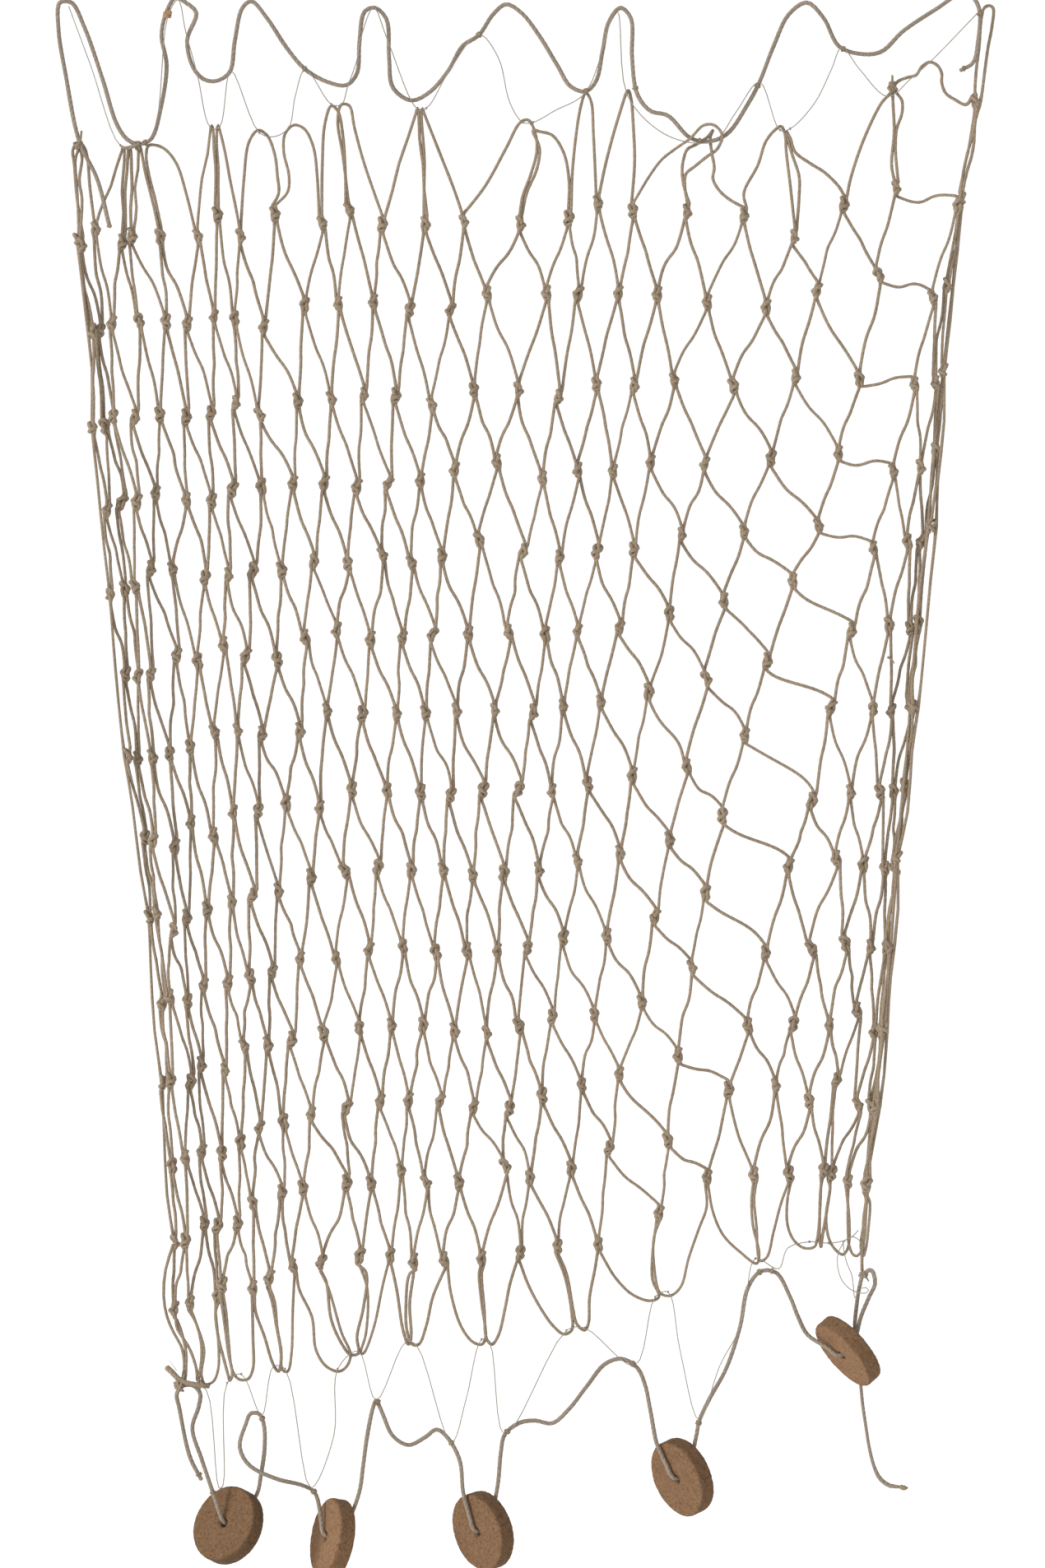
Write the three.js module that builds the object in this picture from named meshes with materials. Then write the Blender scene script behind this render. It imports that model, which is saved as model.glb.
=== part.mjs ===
// Decorative fishing net: one hung piece of knotted netting with a head rope, a foot rope,
// five cork floats threaded on the foot rope, and two fine lacing threads that tie the
// netting to its ropes. Millimetres, +Z up, the net faces -Y. The origin is under the crown
// of the head rope's middle hump, where a nail carries it.

import * as THREE from "three";

// ---- driving dimensions ------------------------------------------------------------------

const ROPE_RADIUS = 1.7;
const THREAD_RADIUS = 0.42;
const TOUCH_GAP = 0.3; // kept between pieces that bear on each other
const STEP_ALLOWANCE = 0.4; // a cord's straight steps cut inside its curve by less than this
const NET_THICKNESS = 2;
const NET_DEPTH = 3.1; // the netting hangs just behind the ropes
const FLOAT_RADIUS = 31;
const FLOAT_THICKNESS = 13.5;
const FLOAT_EDGE = 2.5;
const BORE_RADIUS = 3;
const BORE_FLARE = 3;
const CORD_SIDES = 8;
const FLOAT_SIDES = 32;

const KNOT_ROWS = 14;
const LAST_COLUMN = 23; // the first is -1
const BAND_SUM = 22.5; // column + row / 2 on the left side of the wide diagonal band
const GAP_INSET = 0.17; // share of the way from a wide mesh's corner to its middle

const ROPE_SEAT = ROPE_RADIUS + TOUCH_GAP; // centre of a rope above a face that it bears on
const ROPE_FRONT = -(ROPE_SEAT + THREAD_RADIUS + STEP_ALLOWANCE); // thread in front of a rope
const NET_FRONT = NET_DEPTH - NET_THICKNESS / 2 - TOUCH_GAP - THREAD_RADIUS - STEP_ALLOWANCE;

// ---- the hang of the netting -------------------------------------------------------------

// Where vertical lines of knots hang, left to right, at five of the knot rows.
const GUIDE_ROWS = [1, 4, 7, 10, 14];
const FOLD_LINES = [
  { column: -1, x: [-333, -315, -293, -271, -262], z: [-181, -390, -582, -775, -1014] },
  { column: 0, x: [-331, -305, -286, -266, -252], z: [-183, -388, -584, -773, -1010] },
  { column: 2, x: [-298, -283, -262, -242, -226], z: [-182, -378, -582, -766, -1000] },
  { column: 4, x: [-270, -239, -226, -208, -192], z: [-177, -383, -566, -756, -992] },
  { column: 6, x: [-224, -203, -189, -171, -155], z: [-163, -375, -564, -746, -979] },
  { column: 8, x: [-179, -154, -139, -120, -101], z: [-164, -372, -545, -736, -972] },
  { column: 10, x: [-123, -104, -86, -68, -61], z: [-158, -372, -551, -732, -974] },
  { column: 12, x: [-63, -54, -38, -19, -5], z: [-166, -366, -548, -737, -973] },
  { column: 14, x: [11, 10, 20, 30, 57], z: [-167, -362, -548, -729, -961] },
  { column: 16, x: [72, 70, 74, 97, 136], z: [-152, -362, -541, -718, -932] },
  { column: 18, x: [140, 131, 156, 175, 188], z: [-162, -354, -522, -683, -891] },
  { column: 20, x: [223, 233, 253, 259, 272], z: [-177, -351, -489, -654, -852] },
  { column: 22, x: [303, 330, 342, 352, 362], z: [-143, -347, -456, -609, -814] },
];

// Right of the wide band the netting hangs from its own corner, between these two lines.
const BAND_RIGHT = { x: [364, 317, 269, 220, 157], z: [-77, -296, -483, -671, -908] };
const RIGHT_EDGE = { x: [364, 336, 321, 304, 281], z: [-77, -286, -481, -669, -916] };
const RIGHT_CROWDING = 2.05; // how strongly the meshes crowd towards the right edge

const TOP_CORNER_KNOT = { x: 301, z: -64 }; // ends the wide band at the top
const CORNER_LOOP = [
  { x: 373, z: -2 }, // the edge mesh hung on the last nail, left side
  { x: 378, z: -2 }, // and right side
  { x: 366, z: -91 },
];
const FOOT_CORNER = [
  { x: 275, z: -985 },
  { x: 279, z: -985 },
];

// Knots that hang well out of line: row, column, and how far they are moved in x and z.
const STRAY_KNOTS = [
  [1, 1, -4, 10], [1, 3, -6, 3], [1, 5, 7, -8], [1, 7, -5, -18], [1, 9, 10, -5], [1, 15, 8, -8],
  [1, 11, -3, -6], [1, 12, -1, -6], [1, 13, -7, 3], [1, 17, -6, -6], [2, 13.5, -7, 10],
  [2, 14.5, 5, 8], [3, 12, 0, -9], [3, 15, 1, -7], [4, 12.5, 0, 7], [4, 13.5, 0, 11],
  [4, 14.5, 2, -7],
  [1, 19, 4, 10], [1, 21, -1, 8], [2, -0.5, 5, 1], [2, 1.5, -6, 0], [2, 3.5, 3, 5],
  [2, 5.5, 0, -7], [2, 6.5, -6, -11], [2, 7.5, -7, -17], [2, 20.5, -5, 10], [2, 21.5, -1, 15],
  [2, 22.5, 4, -2], [3, -1, 0, -9], [3, 0, 0, -6], [3, 1, -4, -5], [3, 2, 0, -7], [3, 5, 0, -7],
  [3, 7, -6, -14], [3, 20, -4, 10], [4, 1.5, 3, -8], [4, 22.5, 0, -5], [5, 2, 0, 6],
  [5, 3, -5, 10], [5, 10, 1, 10], [5, 13, -3, 10], [5, 20, 4, -5], [5, 23, 4, 10], [6, 2.5, 4, 8],
  [6, 4.5, 2, 9], [6, 6.5, 3, -10], [6, 21.5, 2, 5], [7, 7, 5, -9], [8, 1.5, 4, -5],
  [8, 2.5, 1, 9], [8, 3.5, 1, -15], [8, 7.5, 1, -11], [8, 17.5, -1, -10], [8, 21.5, -5, -4],
  [9, 0, 0, 7], [9, 1, 3, -8], [9, 19, 3, -8], [9, 22, -4, -5], [10, 1.5, 0, -6],
  [10, 19.5, 3, 6], [11, 1, 6, -8], [11, 3, 3, -8], [11, 4, 1, 7], [11, 17, 2, 10],
  [11, 18, -2, -5], [12, -0.5, 1, -10], [12, 0.5, 4, -5], [12, 1.5, 4, -6], [12, 2.5, 4, -10],
  [12, 3.5, 1, -6], [12, 15.5, -10, 3], [12, 20.5, 2, 10], [12, 21.5, 1, -6], [12, 22.5, -1, -6],
  [13, -1, 6, -8], [13, 0, 6, -6], [13, 1, 8, -3], [13, 2, 6, -6], [13, 3, 4, -8], [13, 5, 5, 3],
  [13, 7, 8, 4], [13, 9, 3, 10], [13, 12, 8, 14], [13, 15, -8, 2], [13, 17, 0, 8], [13, 18, 1, 8],
  [13, 20, -2, 14], [13, 23, 2, -5], [14, 1.5, 8, 2], [14, 2.5, -4, 4], [14, 3.5, 5, -3],
  [14, 14.5, -4, -9], [14, 18.5, -2, 4], [14, 19.5, 1, 7], [14, 20.5, -11, 7], [14, 21.5, -10, 3],
];

// Crowns of the half meshes along the head, and the bights along the foot, left to right.
// Two with almost the same place are tied together.
const HEAD_CROWNS = [
  [-332, -110], [-298, -109], [-293, -109], [-285, -108], [-276, -108], [-229, -92],
  [-224, -92], [-191, -97], [-168, -92], [-136, -74], [-129, -74], [-69, -79],
  [-65, -79], [13, -88], [19, -89], [62, -68], [94, -67], [145, -105],
  [162, -95], [214, -94], [219, -94], [297, -67],
];
const FOOT_BIGHTS = [
  [-254, -1066], [-248, -1070], [-230, -1073], [-207, -1066], [-180, -1060], [-174, -1060], [-133, -1062],
  [-119, -1050], [-114, -1047], [-78, -1041], [-72, -1041], [-20, -1039], [-15, -1039],
  [47, -1032], [60, -1029], [116, -1006], [125, -1002], [193, -975], [200, -975],
  [236, -966], [246, -963], [259, -970], [271, -972],
];

// ---- ropes, threads and floats -----------------------------------------------------------

// A rope or thread route is a list of [x, z] or [x, z, y] points; y is 0 where left out.
const HEAD_ROPE = [
  // free end, corner knot, first nail
  [-308, -172, -5], [-318, -134, -5], [-330, -110, -2], [-335, -94], [-342, -56], [-348, -19],
  [-347, 3], [-338, 3],
  // first swag, the deepest
  [-328, -16], [-314, -56], [-303, -91], [-295, -103], [-286, -107], [-276, -103],
  [-269, -81], [-264, -46], [-268, -22], [-264, -4], [-257, 7], [-249, 3],
  [-241, -5], [-248, -26], [-244, -46], [-236, -56], [-226, -58], [-215, -51],
  [-211, -27], [-205, -1], [-198, 4],
  [-186, -9], [-170, -33], [-156, -49], [-138, -59], [-124, -61], [-116, -52],
  [-114, -27], [-110, -4], [-102, -1],
  [-93, -10], [-91, -40], [-88, -63], [-74, -73], [-60, -67], [-45, -50],
  [-34, -31], [-21, -22], [-10, -6],
  // middle hump, on the nail at the origin
  [0, ROPE_RADIUS], [12, -5], [26, -23], [40, -46], [50, -62], [62, -66],
  [70, -58], [75, -35], [80, -12], [89, -1],
  [97, -9], [98, -40], [102, -68], [112, -81], [126, -85], [143, -102],
  [157, -105], [172, -99], [188, -76], [197, -59], [208, -31], [220, -6], [234, 3],
  // last swag, last nail and free end
  [247, -9], [259, -31], [277, -37], [292, -35], [309, -19], [336, -1],
  [352, 9], [362, 8], [368, -3, -3], [367, -27, -3], [363, -44, -3], [353, -50, -3],
];

// The foot rope runs through the floats in turn; its stretches lie before, between and
// after them.
const FOOT_ROPE = [
  [
    [-237, -1146], [-246, -1128], [-254, -1091], [-256, -1079], [-251, -1073], [-243, -1073],
    [-238, -1079], [-239, -1089], [-244, -1106], [-237, -1129, -2],
  ],
  [
    [-191, -1144, 3], [-188, -1123, 4], [-188.5, -1103, 1], [-192, -1095], [-198.5, -1094.5],
    [-202.5, -1103, -2], [-207, -1120, -4], [-200, -1134, -4], [-179, -1145, -2], [-158, -1151, 5],
    [-149, -1157, 10],
  ],
  [
    [-114, -1155, -3], [-111, -1134, -2], [-108, -1112], [-103.2, -1089], [-100.8, -1084],
    [-98.4, -1089], [-95.5, -1096],
    [-88, -1112], [-76, -1119], [-63, -1113], [-54, -1107], [-45, -1114], [-36, -1131, -3],
  ],
  [
    [-6, -1146, -8], [-4, -1124, -4], [-1, -1111], [10, -1102], [22, -1100], [36, -1102],
    [49, -1091], [63, -1073], [77, -1056], [90, -1052], [102, -1059], [108, -1072],
    [112, -1091], [115, -1108, -2],
  ],
  [
    [150, -1100, -8], [158, -1083, -4], [171, -1060], [182, -1027], [188, -997],
    [198, -984], [210, -985], [221, -1004], [227, -1019, 2], [235, -1034, 8],
  ],
  [
    [276, -1020, 4], [282, -1005, 2], [287, -993], [284, -983, -1], [278, -986, -1],
    [275, -996, 2], [273, -1011, 9], [272, -1027, 17], [274, -1046, 25], [276, -1061, 29],
    [277, -1075, 26], [278, -1089, 15], [280.5, -1108, 5], [282.5, -1121, 2], [286.5, -1136.5],
    [291, -1145.2], [297.5, -1150.2], [302, -1151.2], [310, -1152],
  ],
];

// Each float: middle of its front face, how far its face is turned away from the front, and
// the lean of that turn (0 turns it straight to the left, more tips it upwards).
const FLOATS = [
  { x: -220, z: -1179, turn: 45, lean: 32 },
  { x: -141, z: -1190, turn: 68, lean: 12 },
  { x: -23, z: -1187, turn: 52, lean: -15 },
  { x: 132, z: -1146, turn: 55, lean: -22 },
  { x: 261, z: -1050, turn: 71, lean: -40 },
];

// Lacing threads: [x, z, seat]. The seat says what the thread is tied on, or its own depth;
// it hangs free where none is given.
const TOP_LACING = [
  [-340, 0, "rope"], [-323, -46], [-300, -108, "net"], [-290, -108, "rope"],
  [-280, -106, "rope"], [-272, -91, "rope"],
  [-263, -8, "rope"], [-255, 5, "rope"], [-249, -20], [-240, -53, "rope"],
  [-230, -94, "net"], [-223, -94, "net"], [-214, -50, "rope"], [-192, -98, "net"],
  [-180, -101], [-169, -94, "net"], [-164, -70], [-156, -49, "rope"],
  [-136, -76, "net"], [-128, -76, "net"], [-123, -62, "rope"], [-116, -42, "rope"],
  [-113, -25, "rope"], [-103, -1, "rope"], [-93, -24, "rope"], [-74, -73, "rope"], [-69, -79, "net"],
  [-62, -79, "net"], [-44, -50, "rope"], [-21, -22, "rope"], [-6, -40], [3, -75], [13, -90, "net"],
  [21, -90, "net"], [38, -81], [62, -67, "rope"], [86, -3, "rope"], [94, -68, "net"],
  [118, -96], [143, -106, "rope"], [163, -104, "rope"], [179, -82], [197, -59, "rope"],
  [213, -96, "net"], [221, -95, "net"], [240, -75], [253, -49], [261, -32, "rope"],
  [275, -49], [297, -70, "net"], [315, -56], [330, -43], [366, -6, "rope"],
];
const BOTTOM_LACING = [
  [-241, -1073, "rope"], [-233, -1076], [-223, -1152, "rope"], [-220, -1150],
  [-217, -1071, "net"], [-206, -1064, "net"], [-190, -1096, "rope"],
  [-181, -1058, "net"], [-172, -1060, "net"], [-152, -1153, "rope"], [-134, -1112],
  [-131, -1060, "net"], [-115, -1046, "net"], [-101, -1084, "rope"], [-78, -1039, "net"],
  [-70, -1041, "net"], [-42.5, -1117, "rope"], [-31, -1083], [-19, -1037, "net"],
  [-13, -1039, "net"], [-1, -1111, "rope"], [47, -1030, "net"], [61, -1028, "net"],
  [100, -1057, "rope"], [116, -1004, "net"], [126, -1000, "net"], [135, -1044],
  [150, -1099, "rope"], [166, -1057], [182, -1027, "rope"], [187, -1000, "rope"], [194, -974, "net"],
  [212, -982], [219, -966], [236, -961, "net"], [251, -962, "net"], [263, -960],
  [269, -957, 0], [274, -952, 0],
];

// ---- small helpers -----------------------------------------------------------------------

// Smooth curve through (knots, values): cubic pieces whose slopes are those of the chords
// across each knot; straight beyond both ends.
function smoothThrough(knots, values, at) {
  const last = knots.length - 1;
  const slope = (i) => {
    const a = Math.max(i - 1, 0);
    const b = Math.min(i + 1, last);
    return (values[b] - values[a]) / (knots[b] - knots[a]);
  };
  if (at <= knots[0]) return values[0] + slope(0) * (at - knots[0]);
  if (at >= knots[last]) return values[last] + slope(last) * (at - knots[last]);
  let i = 0;
  while (at > knots[i + 1]) i += 1;
  const width = knots[i + 1] - knots[i];
  const t = (at - knots[i]) / width;
  const startShare = 2 * t ** 3 - 3 * t ** 2 + 1;
  const startPull = t ** 3 - 2 * t ** 2 + t;
  const endPull = t ** 3 - t ** 2;
  return (
    startShare * values[i] +
    (1 - startShare) * values[i + 1] +
    width * (startPull * slope(i) + endPull * slope(i + 1))
  );
}

// Repeatable unevenness between -1 and 1 for a knot.
function uneven(row, column, kind) {
  const wave = Math.sin(row * 12.9898 + column * 78.233 + kind * 37.719) * 43758.5453;
  return 2 * (wave - Math.floor(wave)) - 1;
}

// ---- the netting -------------------------------------------------------------------------

// Depth of the soft upright folds: shallow in the open middle, deeper in the gathered
// sides, none at the head and foot where the netting is tied up.
function foldDepth(row, column) {
  const sides = 3 + 7 * Math.exp(-column / 4) + 5 * Math.exp((column - LAST_COLUMN) / 3);
  const free = Math.min(1, Math.max(0, (row - 1) / 3)) * Math.min(1, (KNOT_ROWS + 1 - row) / 3);
  return sides * free * Math.sin(1.95 * column + 0.35 * row + 0.9 * Math.sin(column));
}

// Place of the knot at a row (1 at the head) and column (whole on odd rows, half on even).
function knotAt(row, column) {
  const along = (values) => smoothThrough(GUIDE_ROWS, values, row);
  const pastBand = column + row / 2 - BAND_SUM - 1;
  let x;
  let z;
  if (pastBand > -0.5) {
    const share = Math.min(1, pastBand / Math.max(0.5, (row - 1) / 2));
    x = along(BAND_RIGHT.x);
    x += (along(RIGHT_EDGE.x) - x) * (1 - (1 - share) ** RIGHT_CROWDING);
    z = along(BAND_RIGHT.z) + (along(RIGHT_EDGE.z) - along(BAND_RIGHT.z)) * share;
  } else {
    const columns = FOLD_LINES.map((line) => line.column);
    x = smoothThrough(columns, FOLD_LINES.map((line) => along(line.x)), column);
    z = smoothThrough(columns, FOLD_LINES.map((line) => along(line.z)), column);
  }
  x += 1.2 * uneven(row, column, 1);
  z += 3 * uneven(row, column, 2);
  const stray = STRAY_KNOTS.find((knot) => knot[0] === row && knot[1] === column);
  if (stray) {
    x += stray[2];
    z += stray[3];
  }
  return new THREE.Vector3(x, NET_DEPTH + foldDepth(row, column), z);
}

const flatPoint = ([x, z]) => new THREE.Vector3(x, NET_DEPTH, z);

// The netting as cells: each is a polygon of named corners, and those of the wide diagonal
// band stay open.
function nettingCells() {
  const points = new Map();
  const knot = (row, column) => {
    const name = `knot ${row} ${column}`;
    if (!points.has(name)) points.set(name, knotAt(row, column));
    return name;
  };
  const fixed = (name, place) => {
    points.set(name, flatPoint(place));
    return name;
  };
  const cells = [];
  const addCell = (corners, open = false) => cells.push({ corners, open });

  HEAD_CROWNS.forEach((place, i) => {
    addCell([fixed(`crown ${i}`, place), knot(1, i), knot(2, i + 0.5), knot(1, i + 1)]);
  });
  const cornerKnot = fixed("corner knot", [TOP_CORNER_KNOT.x, TOP_CORNER_KNOT.z]);
  addCell([cornerKnot, knot(1, 22), knot(2, 22.5), knot(1, 23)], true);

  for (let row = 1; row <= KNOT_ROWS - 2; row += 1) {
    const odd = row % 2 === 1;
    for (let column = odd ? 0 : -0.5; column <= LAST_COLUMN - (odd ? 1 : 0.5); column += 1) {
      const inBand = column + row / 2 === BAND_SUM;
      addCell(
        [knot(row, column), knot(row + 1, column - 0.5), knot(row + 2, column),
          knot(row + 1, column + 0.5)],
        inBand,
      );
    }
  }
  FOOT_BIGHTS.forEach((place, i) => {
    addCell([knot(13, i), knot(14, i - 0.5), fixed(`bight ${i}`, place), knot(14, i + 0.5)]);
  });

  const [loopLeft, loopRight, loopFoot] = CORNER_LOOP.map((p, i) =>
    fixed(`corner loop ${i}`, [p.x, p.z]));
  addCell([loopLeft, knot(1, 23), loopFoot, loopRight]);
  addCell([knot(1, 23), knot(2, 22.5), loopFoot]);
  const [footLeft, footRight] = FOOT_CORNER.map((p, i) => fixed(`foot corner ${i}`, [p.x, p.z]));
  addCell([knot(13, 23), knot(14, 22.5), footLeft, footRight]);
  return { points, cells };
}

// A sheet of even thickness over the cells, closed round its outline and round each open
// cell. Corners run anticlockwise seen from the front.
function nettingGeometry() {
  const { points, cells } = nettingCells();
  const names = [...points.keys()];
  const indexOf = new Map(names.map((name, i) => [name, i]));
  const middle = names.map((name) => points.get(name));
  const faces = []; // triangles on the sheet's middle surface
  const corner = new THREE.Vector3();

  for (const { corners, open } of cells) {
    const ring = corners.map((name) => indexOf.get(name));
    if (!open) {
      for (let i = 1; i < ring.length - 1; i += 1) faces.push([ring[0], ring[i], ring[i + 1]]);
      continue;
    }
    const centre = new THREE.Vector3();
    ring.forEach((i) => centre.addScaledVector(middle[i], 1 / ring.length));
    const inner = ring.map((i) => {
      middle.push(corner.lerpVectors(middle[i], centre, GAP_INSET).clone());
      return middle.length - 1;
    });
    ring.forEach((outerHere, i) => {
      const next = (i + 1) % ring.length;
      faces.push([outerHere, ring[next], inner[next]]);
      faces.push([outerHere, inner[next], inner[i]]);
    });
  }

  const normals = middle.map(() => new THREE.Vector3());
  const edgeA = new THREE.Vector3();
  const edgeB = new THREE.Vector3();
  for (const [a, b, c] of faces) {
    edgeA.subVectors(middle[b], middle[a]);
    edgeB.subVectors(middle[c], middle[a]);
    const normal = edgeA.cross(edgeB).normalize();
    [a, b, c].forEach((i) => normals[i].add(normal));
  }
  const place = [];
  for (const side of [NET_THICKNESS / 2, -NET_THICKNESS / 2]) {
    middle.forEach((point, i) => {
      const moved = point.clone().addScaledVector(normals[i].normalize(), side);
      place.push(moved.x, moved.y, moved.z);
    });
  }

  const back = middle.length;
  const index = [];
  const used = new Set(faces.flatMap(([a, b, c]) => [`${a},${b}`, `${b},${c}`, `${c},${a}`]));
  for (const [a, b, c] of faces) {
    index.push(a, b, c, back + a, back + c, back + b);
    for (const [from, to] of [[a, b], [b, c], [c, a]]) {
      if (used.has(`${to},${from}`)) continue;
      index.push(from, back + from, back + to, from, back + to, to);
    }
  }
  const geometry = new THREE.BufferGeometry();
  geometry.setAttribute("position", new THREE.Float32BufferAttribute(place, 3));
  geometry.setIndex(index);
  geometry.computeVertexNormals();
  return geometry;
}

// ---- ropes and threads -------------------------------------------------------------------

// A smooth curve whose steps fall on its own points, so close points give close steps.
class Route extends THREE.CatmullRomCurve3 {
  getUtoTmapping(u) {
    return u;
  }
}

const routePoint = ([x, z, y = 0]) => new THREE.Vector3(x, y, z);

function cordGeometry(points, radius, stepsPerPoint = 1) {
  const ring = Array.from({ length: CORD_SIDES }, (_, i) => {
    const angle = (2 * Math.PI * i) / CORD_SIDES;
    return new THREE.Vector2(radius * Math.cos(angle), radius * Math.sin(angle));
  });
  return new THREE.ExtrudeGeometry(new THREE.Shape(ring), {
    steps: (points.length - 1) * stepsPerPoint,
    bevelEnabled: false,
    extrudePath: new Route(points),
  });
}

// The way that a float faces, out of its front.
function floatNormal({ turn, lean }) {
  const away = THREE.MathUtils.degToRad(turn);
  const tip = THREE.MathUtils.degToRad(lean);
  return new THREE.Vector3(
    -Math.sin(away) * Math.cos(tip), -Math.cos(away), Math.sin(away) * Math.sin(tip));
}

// Middle of a float: its front face's middle is at the stated x and z.
function floatCentre(float) {
  const normal = floatNormal(float);
  return new THREE.Vector3(float.x, 0, float.z).add(
    new THREE.Vector3(normal.x, 0, normal.z).multiplyScalar(-FLOAT_THICKNESS / 2));
}

// One side of a float's hole: from the rope point outside to the rope inside the bore. The
// rope runs straight where it clears the face, and lies on the face where it does not.
function ropeToBore(centre, normal, outside) {
  const mouth = centre.clone().addScaledVector(normal, FLOAT_THICKNESS / 2);
  const toOutside = outside.clone().sub(mouth);
  const height = toOutside.dot(normal);
  const across = toOutside.addScaledVector(normal, -height);
  const reach = across.length();
  across.normalize();
  const at = (radial, above) =>
    mouth.clone().addScaledVector(across, radial).addScaledVector(normal, above);
  const bend = BORE_FLARE + ROPE_SEAT + STEP_ALLOWANCE; // the rope's bend round the flared edge
  const hub = BORE_RADIUS + BORE_FLARE;
  const points = [];
  const beyondRim = FLOAT_RADIUS + ROPE_SEAT;
  for (const radial of [beyondRim, 12, hub]) {
    if (radial > 0.8 * reach) continue;
    points.push(at(radial, Math.max(bend - BORE_FLARE, (height * radial) / reach)));
  }
  const half = Math.SQRT1_2 * bend;
  points.push(at(hub - half, half - BORE_FLARE));
  points.push(at(hub - bend, -BORE_FLARE));
  return points;
}

function footRopePoints() {
  const stretches = FOOT_ROPE.map((stretch) => stretch.map(routePoint));
  const points = [...stretches[0]];
  FLOATS.forEach((float, i) => {
    const normal = floatNormal(float);
    const centre = floatCentre(float);
    const before = stretches[i][stretches[i].length - 1];
    const after = stretches[i + 1][0];
    points.push(...ropeToBore(centre, normal, before));
    points.push(...ropeToBore(centre, normal.clone().negate(), after).reverse());
    points.push(...stretches[i + 1]);
  });
  return points;
}

// A lacing's points: on a rope the thread rides at the rope's own depth there, on the
// netting at its front, and between ties its depth changes evenly.
function lacingPoints(lacing, ropePoints) {
  const line = new Route(ropePoints);
  const samples = line.getPoints(ropePoints.length * 12);
  const ropeDepth = (x, z) => {
    const nearest = samples.reduce((best, p) =>
      (Math.hypot(p.x - x, p.z - z) < Math.hypot(best.x - x, best.z - z) ? p : best));
    return nearest.y + ROPE_FRONT;
  };
  const depths = lacing.map(([x, z, seat]) => {
    if (seat === "rope") return ropeDepth(x, z);
    return seat === "net" ? NET_FRONT : seat ?? null;
  });
  return lacing.map(([x, z], i) => {
    if (depths[i] !== null) return new THREE.Vector3(x, depths[i], z);
    let a = i;
    while (a > 0 && depths[a] === null) a -= 1;
    let b = i;
    while (b < lacing.length - 1 && depths[b] === null) b += 1;
    if (depths[b] === null) return new THREE.Vector3(x, depths[a], z);
    return new THREE.Vector3(x, depths[a] + ((depths[b] - depths[a]) * (i - a)) / (b - a), z);
  });
}

// ---- cork floats -------------------------------------------------------------------------

// A round disc with softened rims and a bore that flares at both faces, turned about the
// bore's axis.
function floatGeometry() {
  const half = FLOAT_THICKNESS / 2;
  const profile = [];
  const arc = (centreR, centreH, radius, from, to, pieces) => {
    for (let i = 0; i <= pieces; i += 1) {
      const angle = THREE.MathUtils.degToRad(from + ((to - from) * i) / pieces);
      profile.push(new THREE.Vector2(
        centreR + radius * Math.cos(angle), centreH + radius * Math.sin(angle)));
    }
  };
  const hub = BORE_RADIUS + BORE_FLARE;
  arc(FLOAT_RADIUS - FLOAT_EDGE, -half + FLOAT_EDGE, FLOAT_EDGE, -90, 0, 2);
  arc(FLOAT_RADIUS - FLOAT_EDGE, half - FLOAT_EDGE, FLOAT_EDGE, 0, 90, 2);
  arc(hub, half - BORE_FLARE, BORE_FLARE, 90, 180, 3);
  arc(hub, -half + BORE_FLARE, BORE_FLARE, 180, 270, 3);
  profile.push(profile[0].clone());
  return new THREE.LatheGeometry(profile, FLOAT_SIDES);
}

// ---- the part ----------------------------------------------------------------------------

const jute = new THREE.MeshStandardMaterial({ color: 0x93826e, roughness: 0.95, metalness: 0 });
const rope = new THREE.MeshStandardMaterial({ color: 0x8c7d69, roughness: 0.95, metalness: 0 });
const thread = new THREE.MeshStandardMaterial({ color: 0xb5aea2, roughness: 0.8, metalness: 0 });
const cork = new THREE.MeshStandardMaterial({ color: 0x8f6a4c, roughness: 0.9, metalness: 0 });

const net = new THREE.Group();

function addPiece(name, geometry, material) {
  const mesh = new THREE.Mesh(geometry, material);
  mesh.name = name;
  net.add(mesh);
  return mesh;
}

const headRopePoints = HEAD_ROPE.map(routePoint);
const footPoints = footRopePoints();

addPiece("netting", nettingGeometry(), jute);
addPiece("head_rope", cordGeometry(headRopePoints, ROPE_RADIUS), rope);
addPiece("foot_rope", cordGeometry(footPoints, ROPE_RADIUS), rope);
addPiece("top_lacing", cordGeometry(lacingPoints(TOP_LACING, headRopePoints), THREAD_RADIUS, 2), thread);
addPiece("bottom_lacing", cordGeometry(lacingPoints(BOTTOM_LACING, footPoints), THREAD_RADIUS, 2), thread);

FLOATS.forEach((float, i) => {
  const mesh = addPiece(`float_${i + 1}`, floatGeometry(), cork);
  mesh.position.copy(floatCentre(float));
  mesh.quaternion.setFromUnitVectors(new THREE.Vector3(0, 1, 0), floatNormal(float));
});

export default net;
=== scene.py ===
import math

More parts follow.
